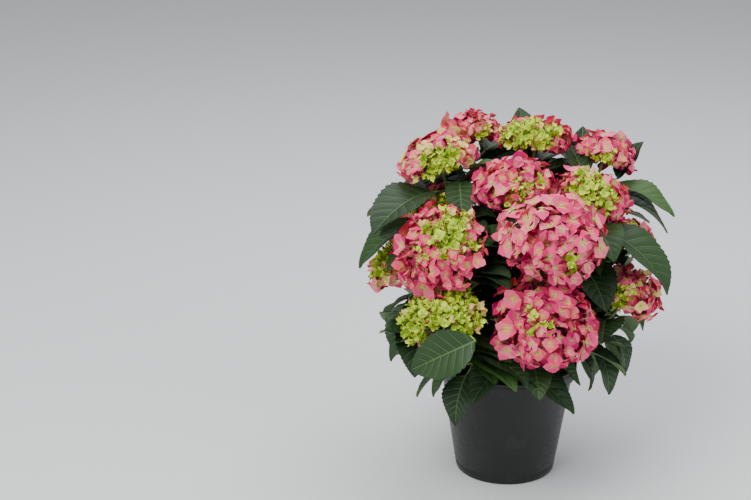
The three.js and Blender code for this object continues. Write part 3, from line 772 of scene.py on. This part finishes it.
def add_petiole(bundle, leaf):
    share = np.linspace(0, 1, len(PETIOLE_SHAPE))
    sag = PETIOLE_SAG * np.linalg.norm(leaf.root - leaf.node) * np.sin(math.pi * share)
    line = leaf.node + share[:, None] * (leaf.root - leaf.node) - sag[:, None] * UP
    bundle.add(*tube(line, PETIOLE_RADIUS * min(1, leaf.length / FULL_LEAF) * PETIOLE_SHAPE, PETIOLE_SIDES))


# Limbs
BARK_SIDES = 16
BARK_STEP = 2
BARK_DEPTH = 0.16
SHOOT_DEPTH = 0.09
RIDGE_SHARE = 0.6
LUMP_SHARE = 0.8
RELIEF_MIDDLE = 0.7
STEM_RINGS = 24
STEM_BEVEL = 0.97
STEM_BEVEL_SHARE = 0.72
TWIG_SIDES = 8
TWIG_STEP = 3
FEWEST_RINGS = 3
LIMB_OVERLAP = 1
NODE_SWELL = 0.35
NODE_SPREAD = 2.2
relief_random = np.random.default_rng(SEED)


def limb_line(shoot, start, end, step):
    distances = np.linspace(start, end, max(FEWEST_RINGS, int((end - start) / step)))
    return distances, bezier(shoot.poles, tick_at(shoot, distances))


def bark_relief(rings, depth):
    noise = relief_random.random((rings, BARK_SIDES))
    ridges = relief_random.random(BARK_SIDES)
    smooth = (noise + np.roll(noise, 1, axis=0) + np.roll(noise, 1, axis=1)) / 3
    return 1 + depth * (RIDGE_SHARE * ridges[None] + LUMP_SHARE * smooth - RELIEF_MIDDLE)


def add_limb(bundle, shoot, start, end, marks, radii):
    """A length of a shoot in bark, whose radius runs between two values at two marks"""
    distances, line = limb_line(shoot, start, end, BARK_STEP)
    skin = bark_relief(len(line), SHOOT_DEPTH)
    bundle.add(*tube(line, np.interp(distances, marks, radii), BARK_SIDES, shoot.side, skin))


stem_skin, bough_skin, twigs = Bundle(), Bundle(), Bundle()
for stem in stems:
    share = np.linspace(0, 1, STEM_RINGS)
    radii = stem_radius(share) * np.where(share > STEM_BEVEL, STEM_BEVEL_SHARE, 1)
    skin = bark_relief(STEM_RINGS, BARK_DEPTH)
    stem_skin.add(*tube(stem.foot + share[:, None] * stem.growth, radii, BARK_SIDES, bearing(0), skin))
    for shoot in stem.shoots:
        add_limb(stem_skin, shoot, 0, STUB_LENGTH, (0, STUB_LENGTH), (STUB_RADIUS, BOUGH_RADIUS))
for shoot in shoots:
    start, end = STUB_LENGTH, shoot.bough_end
    add_limb(bough_skin, shoot, start - LIMB_OVERLAP, end + LIMB_OVERLAP, (start, end),
             (BOUGH_RADIUS, MASS_STEM_RADIUS))
    distances, line = limb_line(shoot, shoot.bough_end, shoot.length, TWIG_STEP)
    radii = np.interp(distances, (shoot.bough_end, shoot.length), (MASS_STEM_RADIUS, HEAD_STEM_RADIUS))
    neck = NECK_SHARE * shoot.down + FIRST_PAIR
    to_node = np.abs((shoot.length - neck - distances + PAIR_SPACING / 2) % PAIR_SPACING - PAIR_SPACING / 2)
    radii = radii * (1 + NODE_SWELL * np.exp(-((to_node / NODE_SPREAD) ** 2)))
    twigs.add(*tube(line, radii, TWIG_SIDES, shoot.side))

# Nearly upright leaves are young ones, shorter than the solids they stand for
UPRIGHT_RISE = 1.1
UPRIGHT_SHARE = 0.6
for leaf in plan.leaves:
    if leaf.rise > UPRIGHT_RISE:
        leaf.length *= UPRIGHT_SHARE

# Leaves that show between the heads, each with its shoot, root, heading, roll, rise, droop and length
SEEN_LEAVES = [
    ("low_left", (-45, -150, 211), (-0.76, -0.65, 0), -0.95, -0.97, 0.3, 80),
    ("back_middle", (26, 118, 322), (-0.22, 0.975, 0), 0, 1.1, 0.2, 64),
    ("back_right", (84, 98, 318), (0.18, 0.98, 0), 0, 1.1, 0.1, 50),
    ("back_right", (84, 62, 322), (-0.35, 0.94, 0), 0, 0.75, 0.4, 46),
    ("back_right", (126, 92, 308), (0.86, 0.5, 0), 0, 1, 0.3, 52),
    ("top_left", (-55, 32, 324), (0.04, -1, 0), 0, -0.35, 0.5, 56),
]
SEEN_START = len(plan.leaves)
for name, root, heading, roll, rise, droop, length in SEEN_LEAVES:
    shoot = next(each for each in shoots if each.name == name)
    node = station_on(shoot, shoot.length - FIRST_PAIR)[0]
    outward = unit(np.array(heading, float))
    plan.leaves.append(SimpleNamespace(
        node=node, root=np.array(root, float), outward=outward, across=np.cross(UP, outward),
        rise=rise, droop=droop, length=length, roll=roll,
    ))

# Leaf meshes; the rolled leaf's points keep florets off it
FRESH_SLOTS = (0.45, 0.86)
blades, inner_blades, backs, veins = Bundle(), Bundle(), Bundle(), Bundle()
leaf_random = np.random.default_rng(SEED + 1)
for index, leaf in enumerate(plan.leaves):
    leaf.wave = leaf_random.uniform(0, 2 * math.pi)
    fresh = leaf_random.random()
    slot = 2 if leaf.rise > UPRIGHT_RISE else sum(fresh > limit for limit in FRESH_SLOTS)
    add_blade(inner_blades if OUTER_COUNT <= index < SEEN_START else blades, leaf, slot)
    add_back(backs, leaf)
    if leaf.roll:
        front_points = backs.points[-1]
    add_veins(veins, leaf)
    add_petiole(twigs, leaf)

# Florets: where each one sits on its flower head, how it is turned, and its size and tone
CANDIDATES = 700
FRONT_CLEAR = 9
MATURE_SIZE = (11, 16.5)
YOUNG_SIZE = (4, 7.4)
YOUNG_EDGE = 0.16
AGE_SPAN = 1.1
AGE_SIZES = (0.72, 1.16)
FULL_HEAD = 48
UNRIPE_SCALE = 0.82
RIPENING = 0.18
ROOM_SHARE = 0.9
FILL_SHARE = 0.6
STAGE_SHARES = (1, 1, FILL_SHARE, 1)
YOUNG_STAGE, FILL_STAGE, HIDDEN_STAGE = 1, 2, 3
HIDDEN_DEPTH = 0.8
FLORET_SPACING = 0.52
SEAT_SPREAD = (0.78, 1.08)
FLORET_LEAN = (0.36, 0.6)
FLORET_SEED = SEED + 50
OPEN_SHAPES = 12
YOUNG_SHAPES = 6
STALK_START = 0.3
STALK_DROP = 0.2
STALK_BOW = 0.05
STALK_RADII = (0.75, 0.6, 0.5)
STALK_SIDES = 4


def head_frame(shoot):
    first = square_to(UP, shoot.axis)
    level = unit(first - shoot.axis * first.dot(shoot.axis))
    return level, np.cross(shoot.axis, level)


def floret_sites(shoot, random):
    """Seats on the head's dome, far enough apart: open florets, young ones, fillers and a hidden layer"""
    first, second = head_frame(shoot)
    index = np.arange(CANDIDATES)
    polar = np.arccos(1 - (index + 0.5) / CANDIDATES * (1 - math.cos(FLORET_LOWEST)))
    azimuth = index * GOLDEN_ANGLE + shoot.phase
    dome = np.where(np.cos(polar) > 0, shoot.up, shoot.down)
    reach = FLORET_SEAT * random.uniform(*SEAT_SPREAD, CANDIDATES)
    seats = shoot.heart + (
        (reach * shoot.radius * np.sin(polar) * np.cos(azimuth))[:, None] * first
        + (reach * shoot.radius * np.sin(polar) * np.sin(azimuth))[:, None] * second
        + (reach * dome * np.cos(polar))[:, None] * shoot.axis
    )
    way = seats - shoot.heart
    way /= np.linalg.norm(way, axis=1)[:, None]
    apart = np.arccos(np.clip(way @ shoot.young_way, -1, 1))
    is_young = apart + random.normal(0, YOUNG_EDGE, CANDIDATES) < shoot.young_angle
    scale = min(1, shoot.radius / FULL_HEAD) * (UNRIPE_SCALE + RIPENING * shoot.ripeness)
    age = np.clip((apart - shoot.young_angle) / AGE_SPAN, 0, 1)
    size = np.where(is_young, random.uniform(*YOUNG_SIZE, CANDIDATES),
                    scale * random.uniform(*MATURE_SIZE, CANDIDATES) * between(AGE_SIZES, age))
    others = np.min([distance_to(other, seats) for other in plan.shoots if other is not shoot], axis=0)
    room = others - distance_to(shoot, seats)
    front_gap = np.linalg.norm(seats[:, None] - front_points[None], axis=2).min(axis=1)
    room = np.where(front_gap < FRONT_CLEAR, 0, room)
    sites = []
    taken = np.empty((len(STAGE_SHARES) * CANDIDATES, 4))
    for stage, share in enumerate(STAGE_SHARES):
        is_hidden = stage == HIDDEN_STAGE
        first_rival = len(sites) if is_hidden else 0
        for place in random.permutation(CANDIDATES):
            young = bool(is_young[place])
            if room[place] < SPACE_MARGIN or stage < FILL_STAGE and young != (stage == YOUNG_STAGE):
                continue
            wanted = min(size[place] * share, max(YOUNG_SIZE[0], ROOM_SHARE * room[place]))
            seat = shoot.heart + (HIDDEN_DEPTH if is_hidden else 1) * (seats[place] - shoot.heart)
            rivals = taken[first_rival:len(sites)]
            gaps = np.linalg.norm(rivals[:, :3] - seat, axis=1)
            if (gaps > FLORET_SPACING * (wanted + rivals[:, 3])).all():
                taken[len(sites)] = (*seat, wanted)
                sites.append((seat, wanted, young, is_hidden))
    return sites


def head_normal(shoot, point):
    offset = point - shoot.heart
    height = offset @ shoot.axis
    dome = shoot.up if height > 0 else shoot.down
    return unit((offset - height * shoot.axis) / shoot.radius**2 + shoot.axis * height / dome**2)


sprays = {tone: [] for tone in TONES}
pedicels = Bundle()
for shoot in shoots:
    random = np.random.default_rng(FLORET_SEED + shoot.index)
    for seat, size, young, is_hidden in floret_sites(shoot, random):
        normal = unit(head_normal(shoot, seat) + FLORET_LEAN[young] * random.normal(0, 1, 3))
        side = square_to(normal, UP)
        turn = Matrix(np.stack([side, np.cross(normal, side), normal], axis=1).tolist())
        turn = turn @ Matrix.Rotation(random.uniform(0, 2 * math.pi), 3, "Z")
        # Hidden inner florets take deeper tones, painted shade for the gaps of the head
        mature = HIDDEN_SHADE_TONES if is_hidden else shoot.tones
        tone = random.choice(YOUNG_TONES if young else mature)
        shape = OPEN_SHAPES + random.integers(YOUNG_SHAPES) if young else random.integers(OPEN_SHAPES)
        sprays[tone].append((seat * MM, turn.to_euler(), size * MM, int(shape)))
        inner = shoot.heart + STALK_START * (seat - shoot.heart) - STALK_DROP * shoot.down * shoot.axis
        middle = 0.5 * (inner + seat) - STALK_BOW * shoot.down * shoot.axis
        pedicels.add(*tube([inner, middle, seat], STALK_RADII, STALK_SIDES))

# Templates of florets, one unit from their middle to the tips of their sepals
SEPAL_ROWS = (0.05, 0.2, 0.44, 0.66, 0.85, 1.0)
OPEN_WIDTHS = (0.06, 0.26, 0.5, 0.42, 0.2, 0.01)
YOUNG_WIDTHS = (0.12, 0.3, 0.5, 0.46, 0.26, 0.04)
# Face parts; the pale and deep ones are partly real tint and partly painted highlight and painted shade
BODY, CLAW, BUD, PALE_HIGHLIGHT, DEEP_SHADE, MID = range(6)
SHADES = (BODY, BODY, BODY, PALE_HIGHLIGHT, DEEP_SHADE)
SEPAL_COUNT = 4
SEPAL_LENGTHS = (0.86, 1.0)
SEPAL_FOLDS = (-0.12, 0.42)
SEPAL_TURN = 0.1
SEPAL_TWIST = 0.22
SEPAL_CURL = 0.16
SEPAL_OVERLAP = 0.05
BEND_POWER = 1.7
CURL_POWER = 6
SMOOTH_END = 0.1
# Share of body sepals whose tip takes the pale colour, partly painted highlight
TIP_HIGHLIGHT_SHARE = 0.55
BUD_SIDES = 6
BUD_RINGS = ((0.07, 0.02), (0.085, 0.08), (0.045, 0.13))
# How many shapes, their widths, how far they cup and how much less each time, the spread of that, and crinkle
FLORET_KINDS = (
    (OPEN_SHAPES, OPEN_WIDTHS, 0.5, 0.055, 0.2, 0.035),
    (YOUNG_SHAPES, YOUNG_WIDTHS, 0.9, 0.13, 0.34, 0.18),
)


def floret_template(name, widths, cup, spread, crinkle, random):
    """Four sepals that cup and curl round a small bud, with each face's part kept as a number"""
    points, faces, parts = [], [], []
    for sepal in range(SEPAL_COUNT):
        angle = math.pi / 2 * sepal + random.normal(0, SEPAL_TURN)
        ahead, across = bearing(angle), bearing(angle + math.pi / 2)
        length = random.uniform(*SEPAL_LENGTHS)
        bend = cup + random.normal(0, spread)
        fold = random.uniform(*SEPAL_FOLDS)
        twist = random.normal(0, SEPAL_TWIST)
        curl = random.uniform(0, SEPAL_CURL)
        lift = SEPAL_OVERLAP * (sepal % 2)
        # A sepal's shade is dealt at random; pale ones are partly painted highlight and deep ones partly
        # painted shade
        shade = random.choice(SHADES)
        # A body sepal's tip is often the pale colour: partly its real pale rim, partly painted highlight
        # where light catches
        tip = PALE_HIGHLIGHT if shade == BODY and random.random() < TIP_HIGHLIGHT_SHARE else shade
        bands = [CLAW, MID, shade, shade, tip]
        start = len(points)
        for share, width in zip(SEPAL_ROWS, widths):
            for column in (-1, 0, 1):
                height = lift + bend * share**BEND_POWER - curl * share**CURL_POWER
                height += width * (fold * abs(column) + twist * column)
                height += random.normal(0, crinkle) * (share > SMOOTH_END)
                points.append(length * share * ahead + width * column * across + height * UP)
        for row in range(len(SEPAL_ROWS) - 1):
            for column in (0, 1):
                a = start + 3 * row + column
                faces.append((a, a + 3, a + 4, a + 1))
                parts.append(bands[row])
    faces += ring_faces(len(BUD_RINGS), BUD_SIDES, len(points))
    for radius, height in BUD_RINGS:
        for corner in range(BUD_SIDES):
            points.append(radius * bearing(2 * math.pi / BUD_SIDES * corner) + height * UP)
    faces.append(tuple(len(points) - BUD_SIDES + corner for corner in range(BUD_SIDES)))
    parts += [BUD] * (len(faces) - len(parts))
    template = mesh_object(name, points, faces, [])
    template.data.attributes.new("part", "INT", "FACE").data.foreach_set("value", parts)
    return template


def put_in_collection(name, templates):
    collection = bpy.data.collections.new(name)
    bpy.context.scene.collection.children.link(collection)
    for template in templates:
        bpy.context.scene.collection.objects.unlink(template)
        collection.objects.link(template)
    return collection


shape_random = np.random.default_rng(SEED + 2)
templates = []
for count, widths, cup, step, spread, crinkle in FLORET_KINDS:
    for i in range(count):
        name = f"floret_shape_{len(templates):02d}"
        templates.append(floret_template(name, widths, cup - step * i, spread, crinkle, shape_random))
FLORET_SHAPES = put_in_collection("floret_shapes", templates)


# Geometry node trees
def geometry_tree(name, inputs):
    return node_group(name, "GeometryNodeTree", {"Geometry": "Geometry", **inputs}, {"Geometry": "Geometry"})


def named(tree, label, kind):
    return add_node(tree, "GeometryNodeInputNamedAttribute", {"Name": label}, data_type=kind)


def is_part(tree, number):
    compare = add_node(tree, "FunctionNodeCompare", data_type="INT", operation="EQUAL")
    first, second = [each for each in compare.inputs if each.type == "INT"]
    second.default_value = number
    tree.links.new(named(tree, "part", "INT").outputs["Attribute"], first)
    return compare


# Pale petals carry painted highlight and deep petals painted shade, partly with the sepals' own tint
FLORET_PARTS = {
    "Petals": BODY, "Claws": CLAW, "Buds": BUD, "Pale Highlight Petals": PALE_HIGHLIGHT, "Deep Shade Petals": DEEP_SHADE, "Mid Petals": MID,
}


def floret_tree():
    inputs = {"Shapes": "Collection"} | {label: "Material" for label in FLORET_PARTS}
    tree, start, end = geometry_tree("floret_spray", inputs)
    shapes = add_node(tree, "GeometryNodeCollectionInfo", {"Separate Children": True, "Reset Children": True})
    place = add_node(tree, "GeometryNodeInstanceOnPoints", {"Pick Instance": True})
    realize = add_node(tree, "GeometryNodeRealizeInstances")
    wire(
        tree,
        (start, "Shapes", shapes, "Collection"),
        (start, "Geometry", place, "Points"),
        (shapes, "Instances", place, "Instance"),
        (named(tree, "shape", "INT"), "Attribute", place, "Instance Index"),
        (named(tree, "turn", "FLOAT_VECTOR"), "Attribute", place, "Rotation"),
        (named(tree, "size", "FLOAT"), "Attribute", place, "Scale"),
        (place, "Instances", realize, "Geometry"),
    )
    last = realize
    for label, number in FLORET_PARTS.items():
        coat = add_node(tree, "GeometryNodeSetMaterial")
        wire(tree, (last, "Geometry", coat, "Geometry"), (start, label, coat, "Material"),
             (is_part(tree, number), "Result", coat, "Selection"))
        last = coat
    wire(tree, (last, "Geometry", end, "Geometry"))
    return tree


def grown(name, source, tree, values):
    """The plain mesh that a tree makes of a source object, with the source removed"""
    modifier = source.modifiers.new("grow", "NODES")
    modifier.node_group = tree
    for item in tree.interface.items_tree:
        if item.in_out == "INPUT" and item.name in values:
            modifier[item.identifier] = values[item.name]
    source.update_tag()
    mesh = evaluated_mesh(source)
    source.modifiers.remove(modifier)
    bpy.data.objects.remove(source)
    mesh.name = name
    return new_object(name, mesh)


PETAL_ROUGHNESS = 0.62
PETAL_GRAIN = 650
PETAL_DEPTH = 0.00015
PETAL_SHEEN = 0.12
FLORET_TREE = floret_tree()
floret_pieces = {}
for tone, sites in sprays.items():
    places, turns, sizes, shapes = zip(*sites)
    points = bpy.data.meshes.new(f"seats_{tone}")
    points.from_pydata([tuple(place) for place in places], [], [])
    values = {
        "turn": ("FLOAT_VECTOR", "vector", [angle for turn in turns for angle in turn]),
        "size": ("FLOAT", "value", sizes),
        "shape": ("INT", "value", shapes),
    }
    for label, (kind, field, numbers) in values.items():
        points.attributes.new(label, kind, "POINT").data.foreach_set(field, numbers)
    seats = new_object(f"seats_{tone}", points)
    petal, claw = np.array(TONES[tone])
    is_green = "lime" in tone
    # Pale petals lean toward a lighter colour and deep petals are darkened: partly real tint, partly painted
    # highlight and painted shade
    pale_highlight = petal + PALE_AND_HIGHLIGHT_SHARE * (np.array(PALE_AND_HIGHLIGHT_COLOURS[is_green]) - petal)
    deep_shade = petal * DEEP_AND_SHADE_FACTORS[is_green]
    mid = petal + MID_SHARE * (claw - petal)
    colours = {"Petals": petal, "Claws": claw, "Pale Highlight Petals": pale_highlight, "Deep Shade Petals": deep_shade, "Mid Petals": mid}
    finishes = {
        label: finish(f"{label.lower().replace(' ', '_')}_{tone}", colour.tolist(),
                      PETAL_ROUGHNESS, PETAL_GRAIN, PETAL_DEPTH, sheen=PETAL_SHEEN)
        for label, colour in colours.items()
    }
    finishes["Shapes"] = FLORET_SHAPES
    finishes["Buds"] = BUD_FINISH
    floret_pieces[tone] = grown(f"florets_{tone}", seats, FLORET_TREE, finishes)
for template in templates:
    bpy.data.objects.remove(template)
bpy.data.collections.remove(FLORET_SHAPES)


# Pot: a turned wall with a rounded rim band, a stacking step and a foot
POT_SIDES = 120
HOLE_SIDES = 24
RIM_ROUNDING = 1.1
SHARP_ANGLE = math.radians(35)
MERGE_DISTANCE = 1e-6


def pot_radius(height):
    return POT_BASE_RADIUS + (POT_TOP_RADIUS - POT_BASE_RADIUS) * height / POT_HEIGHT


def turned_piece(name, profile, sides, material):
    points = [(radius * math.cos(angle), radius * math.sin(angle), height)
              for radius, height in profile for angle in 2 * math.pi * np.arange(sides) / sides]
    faces = np.array(ring_faces(len(profile) + 1, sides)) % len(points)
    piece = mesh_object(name, np.array(points) * MM, faces, [material])
    tidy = bmesh.new()
    tidy.from_mesh(piece.data)
    bmesh.ops.remove_doubles(tidy, verts=tidy.verts, dist=MERGE_DISTANCE)
    bmesh.ops.dissolve_degenerate(tidy, edges=tidy.edges, dist=MERGE_DISTANCE / 10)
    bmesh.ops.recalc_face_normals(tidy, faces=tidy.faces)
    tidy.to_mesh(piece.data)
    tidy.free()
    return piece


def pot_profile():
    """Radius and height of each corner, from under the base up the outside, over the rim and back inside"""
    rim_foot = POT_HEIGHT - RIM_HEIGHT
    rim = pot_radius(POT_HEIGHT) + RIM_OVERHANG
    middle, top = rim - RIM_ROUNDING, POT_HEIGHT - RIM_ROUNDING
    rounding = [(middle + RIM_ROUNDING * math.sin(angle), top + RIM_ROUNDING * math.cos(angle))
                for angle in np.linspace(math.pi / 2, 0, 6)]
    outside = [
        (0, 0), (POT_BASE_RADIUS - 3, 0), (POT_BASE_RADIUS - 1.2, 0.3), (POT_BASE_RADIUS - 0.2, 1.3),
        (pot_radius(8) - 0.1, 8), (pot_radius(9) - 0.6, 9),
        (pot_radius(11) - 0.6, 11), (pot_radius(12) - 0.1, 12), (pot_radius(70), 70),
        (pot_radius(rim_foot - 4), rim_foot - 4), (pot_radius(rim_foot - 0.8), rim_foot - 0.8),
        (rim - 1.6, rim_foot), (rim - 0.7, rim_foot + 0.3), (rim - 0.35, rim_foot + 1.2),
        (rim - 0.15, POT_HEIGHT - 5), (rim - 0.5, POT_HEIGHT - 4.6), (rim - 0.5, POT_HEIGHT - 3.8),
        (rim - 0.1, POT_HEIGHT - 3.4),
    ]
    inside = [
        (POT_TOP_RADIUS - POT_WALL + 0.4, POT_HEIGHT - 0.2), (POT_TOP_RADIUS - POT_WALL, POT_HEIGHT - 1),
        (pot_radius(60) - POT_WALL, 60), (POT_BASE_RADIUS - POT_WALL, POT_WALL + 1),
        (POT_BASE_RADIUS - POT_WALL - 1, POT_WALL), (0, POT_WALL),
    ]
    return outside + rounding + inside


def drilled(pot):
    drills = Bundle()
    for hole in range(DRAIN_COUNT):
        middle = DRAIN_RING * bearing(2 * math.pi * (hole + 0.5) / DRAIN_COUNT)
        line = middle + np.outer([-POT_WALL, 2 * POT_WALL], UP)
        drills.add(*tube(line, (DRAIN_RADIUS, DRAIN_RADIUS), HOLE_SIDES, bearing(0)))
    cutter = drills.piece("drills", [])
    cut = pot.modifiers.new("drain", "BOOLEAN")
    cut.operation = "DIFFERENCE"
    cut.solver = "EXACT"
    cut.object = cutter
    mesh = evaluated_mesh(pot)
    pot.modifiers.remove(cut)
    pot.data = mesh
    bpy.data.objects.remove(cutter)
    mesh.set_sharp_from_angle(angle=SHARP_ANGLE)


pot = turned_piece("nursery_pot", pot_profile(), POT_SIDES, POT_FINISH)
drilled(pot)

# Soil: an uneven top inside the pot, with crumbs scattered over it
SOIL_RINGS = 34
SOIL_SIDES = 110
SOIL_RELIEF = 2.4
SOIL_CLEAR = 0.35
SOIL_WAVES = 14
WAVE_RATES = (0.16, 0.16, 1)
WAVE_PHASE = 3
SOIL_GRIT = 0.5
SOIL_HEAVE = 0.8
SOIL_SINK = 1.1
SOIL_EDGE = 6
CRUMB_SPREAD = 0.97
CRUMB_SIZES = (0.0006, 0.0021)
CRUMB_SHAPES = (0.7, 1.2)
CRUMB_FLATNESS = 0.7
CRUMB_DENSITY = 90000.0
CRUMB_TURN = (6.28, 6.28, 6.28)
TOP_NORMAL = 0.5


def soil_radius(height):
    return pot_radius(height) - POT_WALL - GAP - SOIL_CLEAR


def soil_surface():
    random = np.random.default_rng(SEED + 3)
    waves = random.normal(0, 1, (SOIL_WAVES, 3)) * WAVE_RATES
    turns = 2 * math.pi * np.arange(SOIL_SIDES) / SOIL_SIDES
    points = []
    for ring in range(SOIL_RINGS):
        radius = soil_radius(SOIL_TOP) * (ring + 1) / SOIL_RINGS
        edge = min(1, (soil_radius(SOIL_TOP) - radius) / SOIL_EDGE)
        for turn in turns:
            x, y = radius * bearing(turn)[:2]
            height = sum(math.sin(a * x + b * y + c * WAVE_PHASE) for a, b, c in waves) / SOIL_WAVES
            rise = edge * (SOIL_RELIEF * height + SOIL_GRIT * random.random()) * SOIL_HEAVE
            points.append((x, y, SOIL_TOP - SOIL_SINK + rise))
    faces = turned_over(ring_faces(SOIL_RINGS, SOIL_SIDES))
    middle = len(points)
    points.append((0, 0, SOIL_TOP - 1))
    faces += [(middle, corner, (corner + 1) % SOIL_SIDES) for corner in range(SOIL_SIDES)]
    low = len(points)
    foot = POT_WALL + GAP
    for turn in turns:
        points.append((*(soil_radius(foot) * bearing(turn))[:2], foot))
    rim = (SOIL_RINGS - 1) * SOIL_SIDES
    for corner in range(SOIL_SIDES):
        following = (corner + 1) % SOIL_SIDES
        faces.append((rim + corner, low + corner, low + following, rim + following))
    faces.append(tuple(low + corner for corner in reversed(range(SOIL_SIDES))))
    return np.array(points) * MM, faces


def crumb_tree():
    inputs = {
        "Crumb": "Object", "Density": "Float", "Seed": "Int",
        "Smallest": "Float", "Largest": "Float", "Finish": "Material",
    }
    tree, start, end = geometry_tree("soil_crumbs", inputs)
    normal = add_node(tree, "GeometryNodeInputNormal")
    split = add_node(tree, "ShaderNodeSeparateXYZ")
    is_top = add_node(tree, "FunctionNodeCompare", {"B": TOP_NORMAL}, operation="GREATER_THAN")
    scatter = add_node(tree, "GeometryNodeDistributePointsOnFaces")
    crumb = add_node(tree, "GeometryNodeObjectInfo")
    turn = add_node(tree, "FunctionNodeRandomValue", {"Max": CRUMB_TURN}, data_type="FLOAT_VECTOR")
    size = add_node(tree, "FunctionNodeRandomValue", data_type="FLOAT")
    place = add_node(tree, "GeometryNodeInstanceOnPoints")
    realize = add_node(tree, "GeometryNodeRealizeInstances")
    coat = add_node(tree, "GeometryNodeSetMaterial")
    wire(
        tree,
        (normal, "Normal", split, "Vector"),
        (split, "Z", is_top, "A"),
        (is_top, "Result", scatter, "Selection"),
        (start, "Geometry", scatter, "Mesh"),
        (start, "Density", scatter, "Density"),
        (start, "Seed", scatter, "Seed"),
        (start, "Seed", turn, "Seed"),
        (start, "Seed", size, "Seed"),
        (start, "Smallest", size, 2),
        (start, "Largest", size, 3),
        (start, "Crumb", crumb, "Object"),
        (scatter, "Points", place, "Points"),
        (crumb, "Geometry", place, "Instance"),
        (turn, 0, place, "Rotation"),
        (size, 1, place, "Scale"),
        (place, "Instances", realize, "Geometry"),
        (realize, "Geometry", coat, "Geometry"),
        (start, "Finish", coat, "Material"),
        (coat, "Geometry", end, "Geometry"),
    )
    return tree


def crumb_template():
    shape = bmesh.new()
    bmesh.ops.create_icosphere(shape, subdivisions=1, radius=1)
    random = np.random.default_rng(SEED + 4)
    for corner in shape.verts:
        corner.co *= float(random.uniform(*CRUMB_SHAPES))
        corner.co.z *= CRUMB_FLATNESS
    mesh = bpy.data.meshes.new("crumb")
    shape.to_mesh(mesh)
    shape.free()
    return new_object("crumb", mesh)


soil_points, soil_faces = soil_surface()
soil = mesh_object("soil_bed", soil_points, soil_faces, [SOIL_FINISH])
crumb = crumb_template()
ground = mesh_object("crumb_ground", soil_points * (CRUMB_SPREAD, CRUMB_SPREAD, 1), soil_faces, [SOIL_FINISH])
crumb_values = {"Crumb": crumb, "Density": CRUMB_DENSITY, "Seed": SEED, "Smallest": CRUMB_SIZES[0],
                "Largest": CRUMB_SIZES[1], "Finish": CRUMB_FINISH}
crumbs = grown("soil_crumbs", ground, crumb_tree(), crumb_values)
bpy.data.objects.remove(crumb)

# Pieces: what each one stands for, its slot and its body
BOUGHS = [f"bough_{shoot.name}" for shoot in shoots]
MASSES = [f"mass_{shoot.name}" for shoot in shoots]
PINK, GREEN = "pink_flower_mass", "green_flower_mass"
pieces = [
    (pot, "pot_plastic", ["pot"]),
    (soil, "potting_soil", ["soil"]),
    (crumbs, "potting_soil", ["soil"]),
    (stem_skin.piece("stem_skins", [BARK_FINISH]), "stem_bark", [stem.name for stem in stems]),
    (bough_skin.piece("bough_skins", [SHOOT_FINISH]), "bough_bark", BOUGHS),
    (twigs.piece("shoot_twigs", [TWIG_FINISH]), GREEN, MASSES),
    (blades.piece("leaf_blades", LEAF_FINISHES), GREEN, MASSES),
    (inner_blades.piece("inner_leaf_blades", LEAF_FINISHES), GREEN, MASSES),
    (backs.piece("leaf_backs", [BACK_FINISH]), GREEN, MASSES),
    (veins.piece("leaf_ribs", [VEIN_FINISH]), GREEN, MASSES),
    (pedicels.piece("floret_stalks", [PEDICEL_FINISH]), PINK, MASSES),
]
pieces += [(piece, GREEN if "lime" in tone else PINK, MASSES) for tone, piece in floret_pieces.items()]
for piece, slot, nodes in pieces:
    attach(piece, "root")
    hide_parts(*nodes)


# Stage, camera and light
FLOOR_COLOUR = (0.72, 0.73, 0.74, 1)
FLOOR_ROUGHNESS = 0.9
FLOOR_REACH = 6
SENSOR_WIDTH = 36
LIGHT_TARGET = Vector((0.02, 0, 0.22))
LIGHTS = (
    ("key", (-0.9, -1.1, 1.7), 1.2, 41, (1, 0.99, 0.97)),
    ("fill", (1.4, -0.9, 1.0), 1.4, 10, (0.95, 0.98, 1)),
    ("top", (0.2, 0.7, 1.7), 1.4, 24, (1, 1, 1)),
)
WORLD_COLOUR = (0.86, 0.9, 0.95, 1)
WORLD_STRENGTH = 0.55


def stage_floor():
    material = bpy.data.materials.new("floor_paper")
    material.use_nodes = True
    shader = material.node_tree.nodes["Principled BSDF"]
    shader.inputs["Base Color"].default_value = FLOOR_COLOUR
    shader.inputs["Roughness"].default_value = FLOOR_ROUGHNESS
    corners = [(x * FLOOR_REACH, y * FLOOR_REACH, 0) for x, y in ((-1, -1), (1, -1), (1, 1), (-1, 1))]
    mesh_object("floor", corners, [(0, 1, 2, 3)], [material], smooth=False)


def area_light(name, place, size, power, colour):
    light = bpy.data.lights.new(name, "AREA")
    light.size = size
    light.energy = power
    light.color = colour
    lamp = new_object(name, light)
    lamp.location = place
    lamp.rotation_euler = (LIGHT_TARGET - Vector(place)).to_track_quat("-Z", "Y").to_euler()


def camera():
    lens = bpy.data.cameras.new("camera")
    lens.lens = CAMERA_LENS
    lens.sensor_width = SENSOR_WIDTH
    viewer = new_object("camera", lens)
    viewer.location = CAMERA_PLACE
    viewer.rotation_euler = (CAMERA_PITCH, 0, 0)
    bpy.context.scene.camera = viewer


stage_floor()
camera()
for light in LIGHTS:
    area_light(*light)
world = bpy.data.worlds.new("studio")
world.use_nodes = True
background = world.node_tree.nodes["Background"]
background.inputs["Color"].default_value = WORLD_COLOUR
background.inputs["Strength"].default_value = WORLD_STRENGTH
bpy.context.scene.world = world
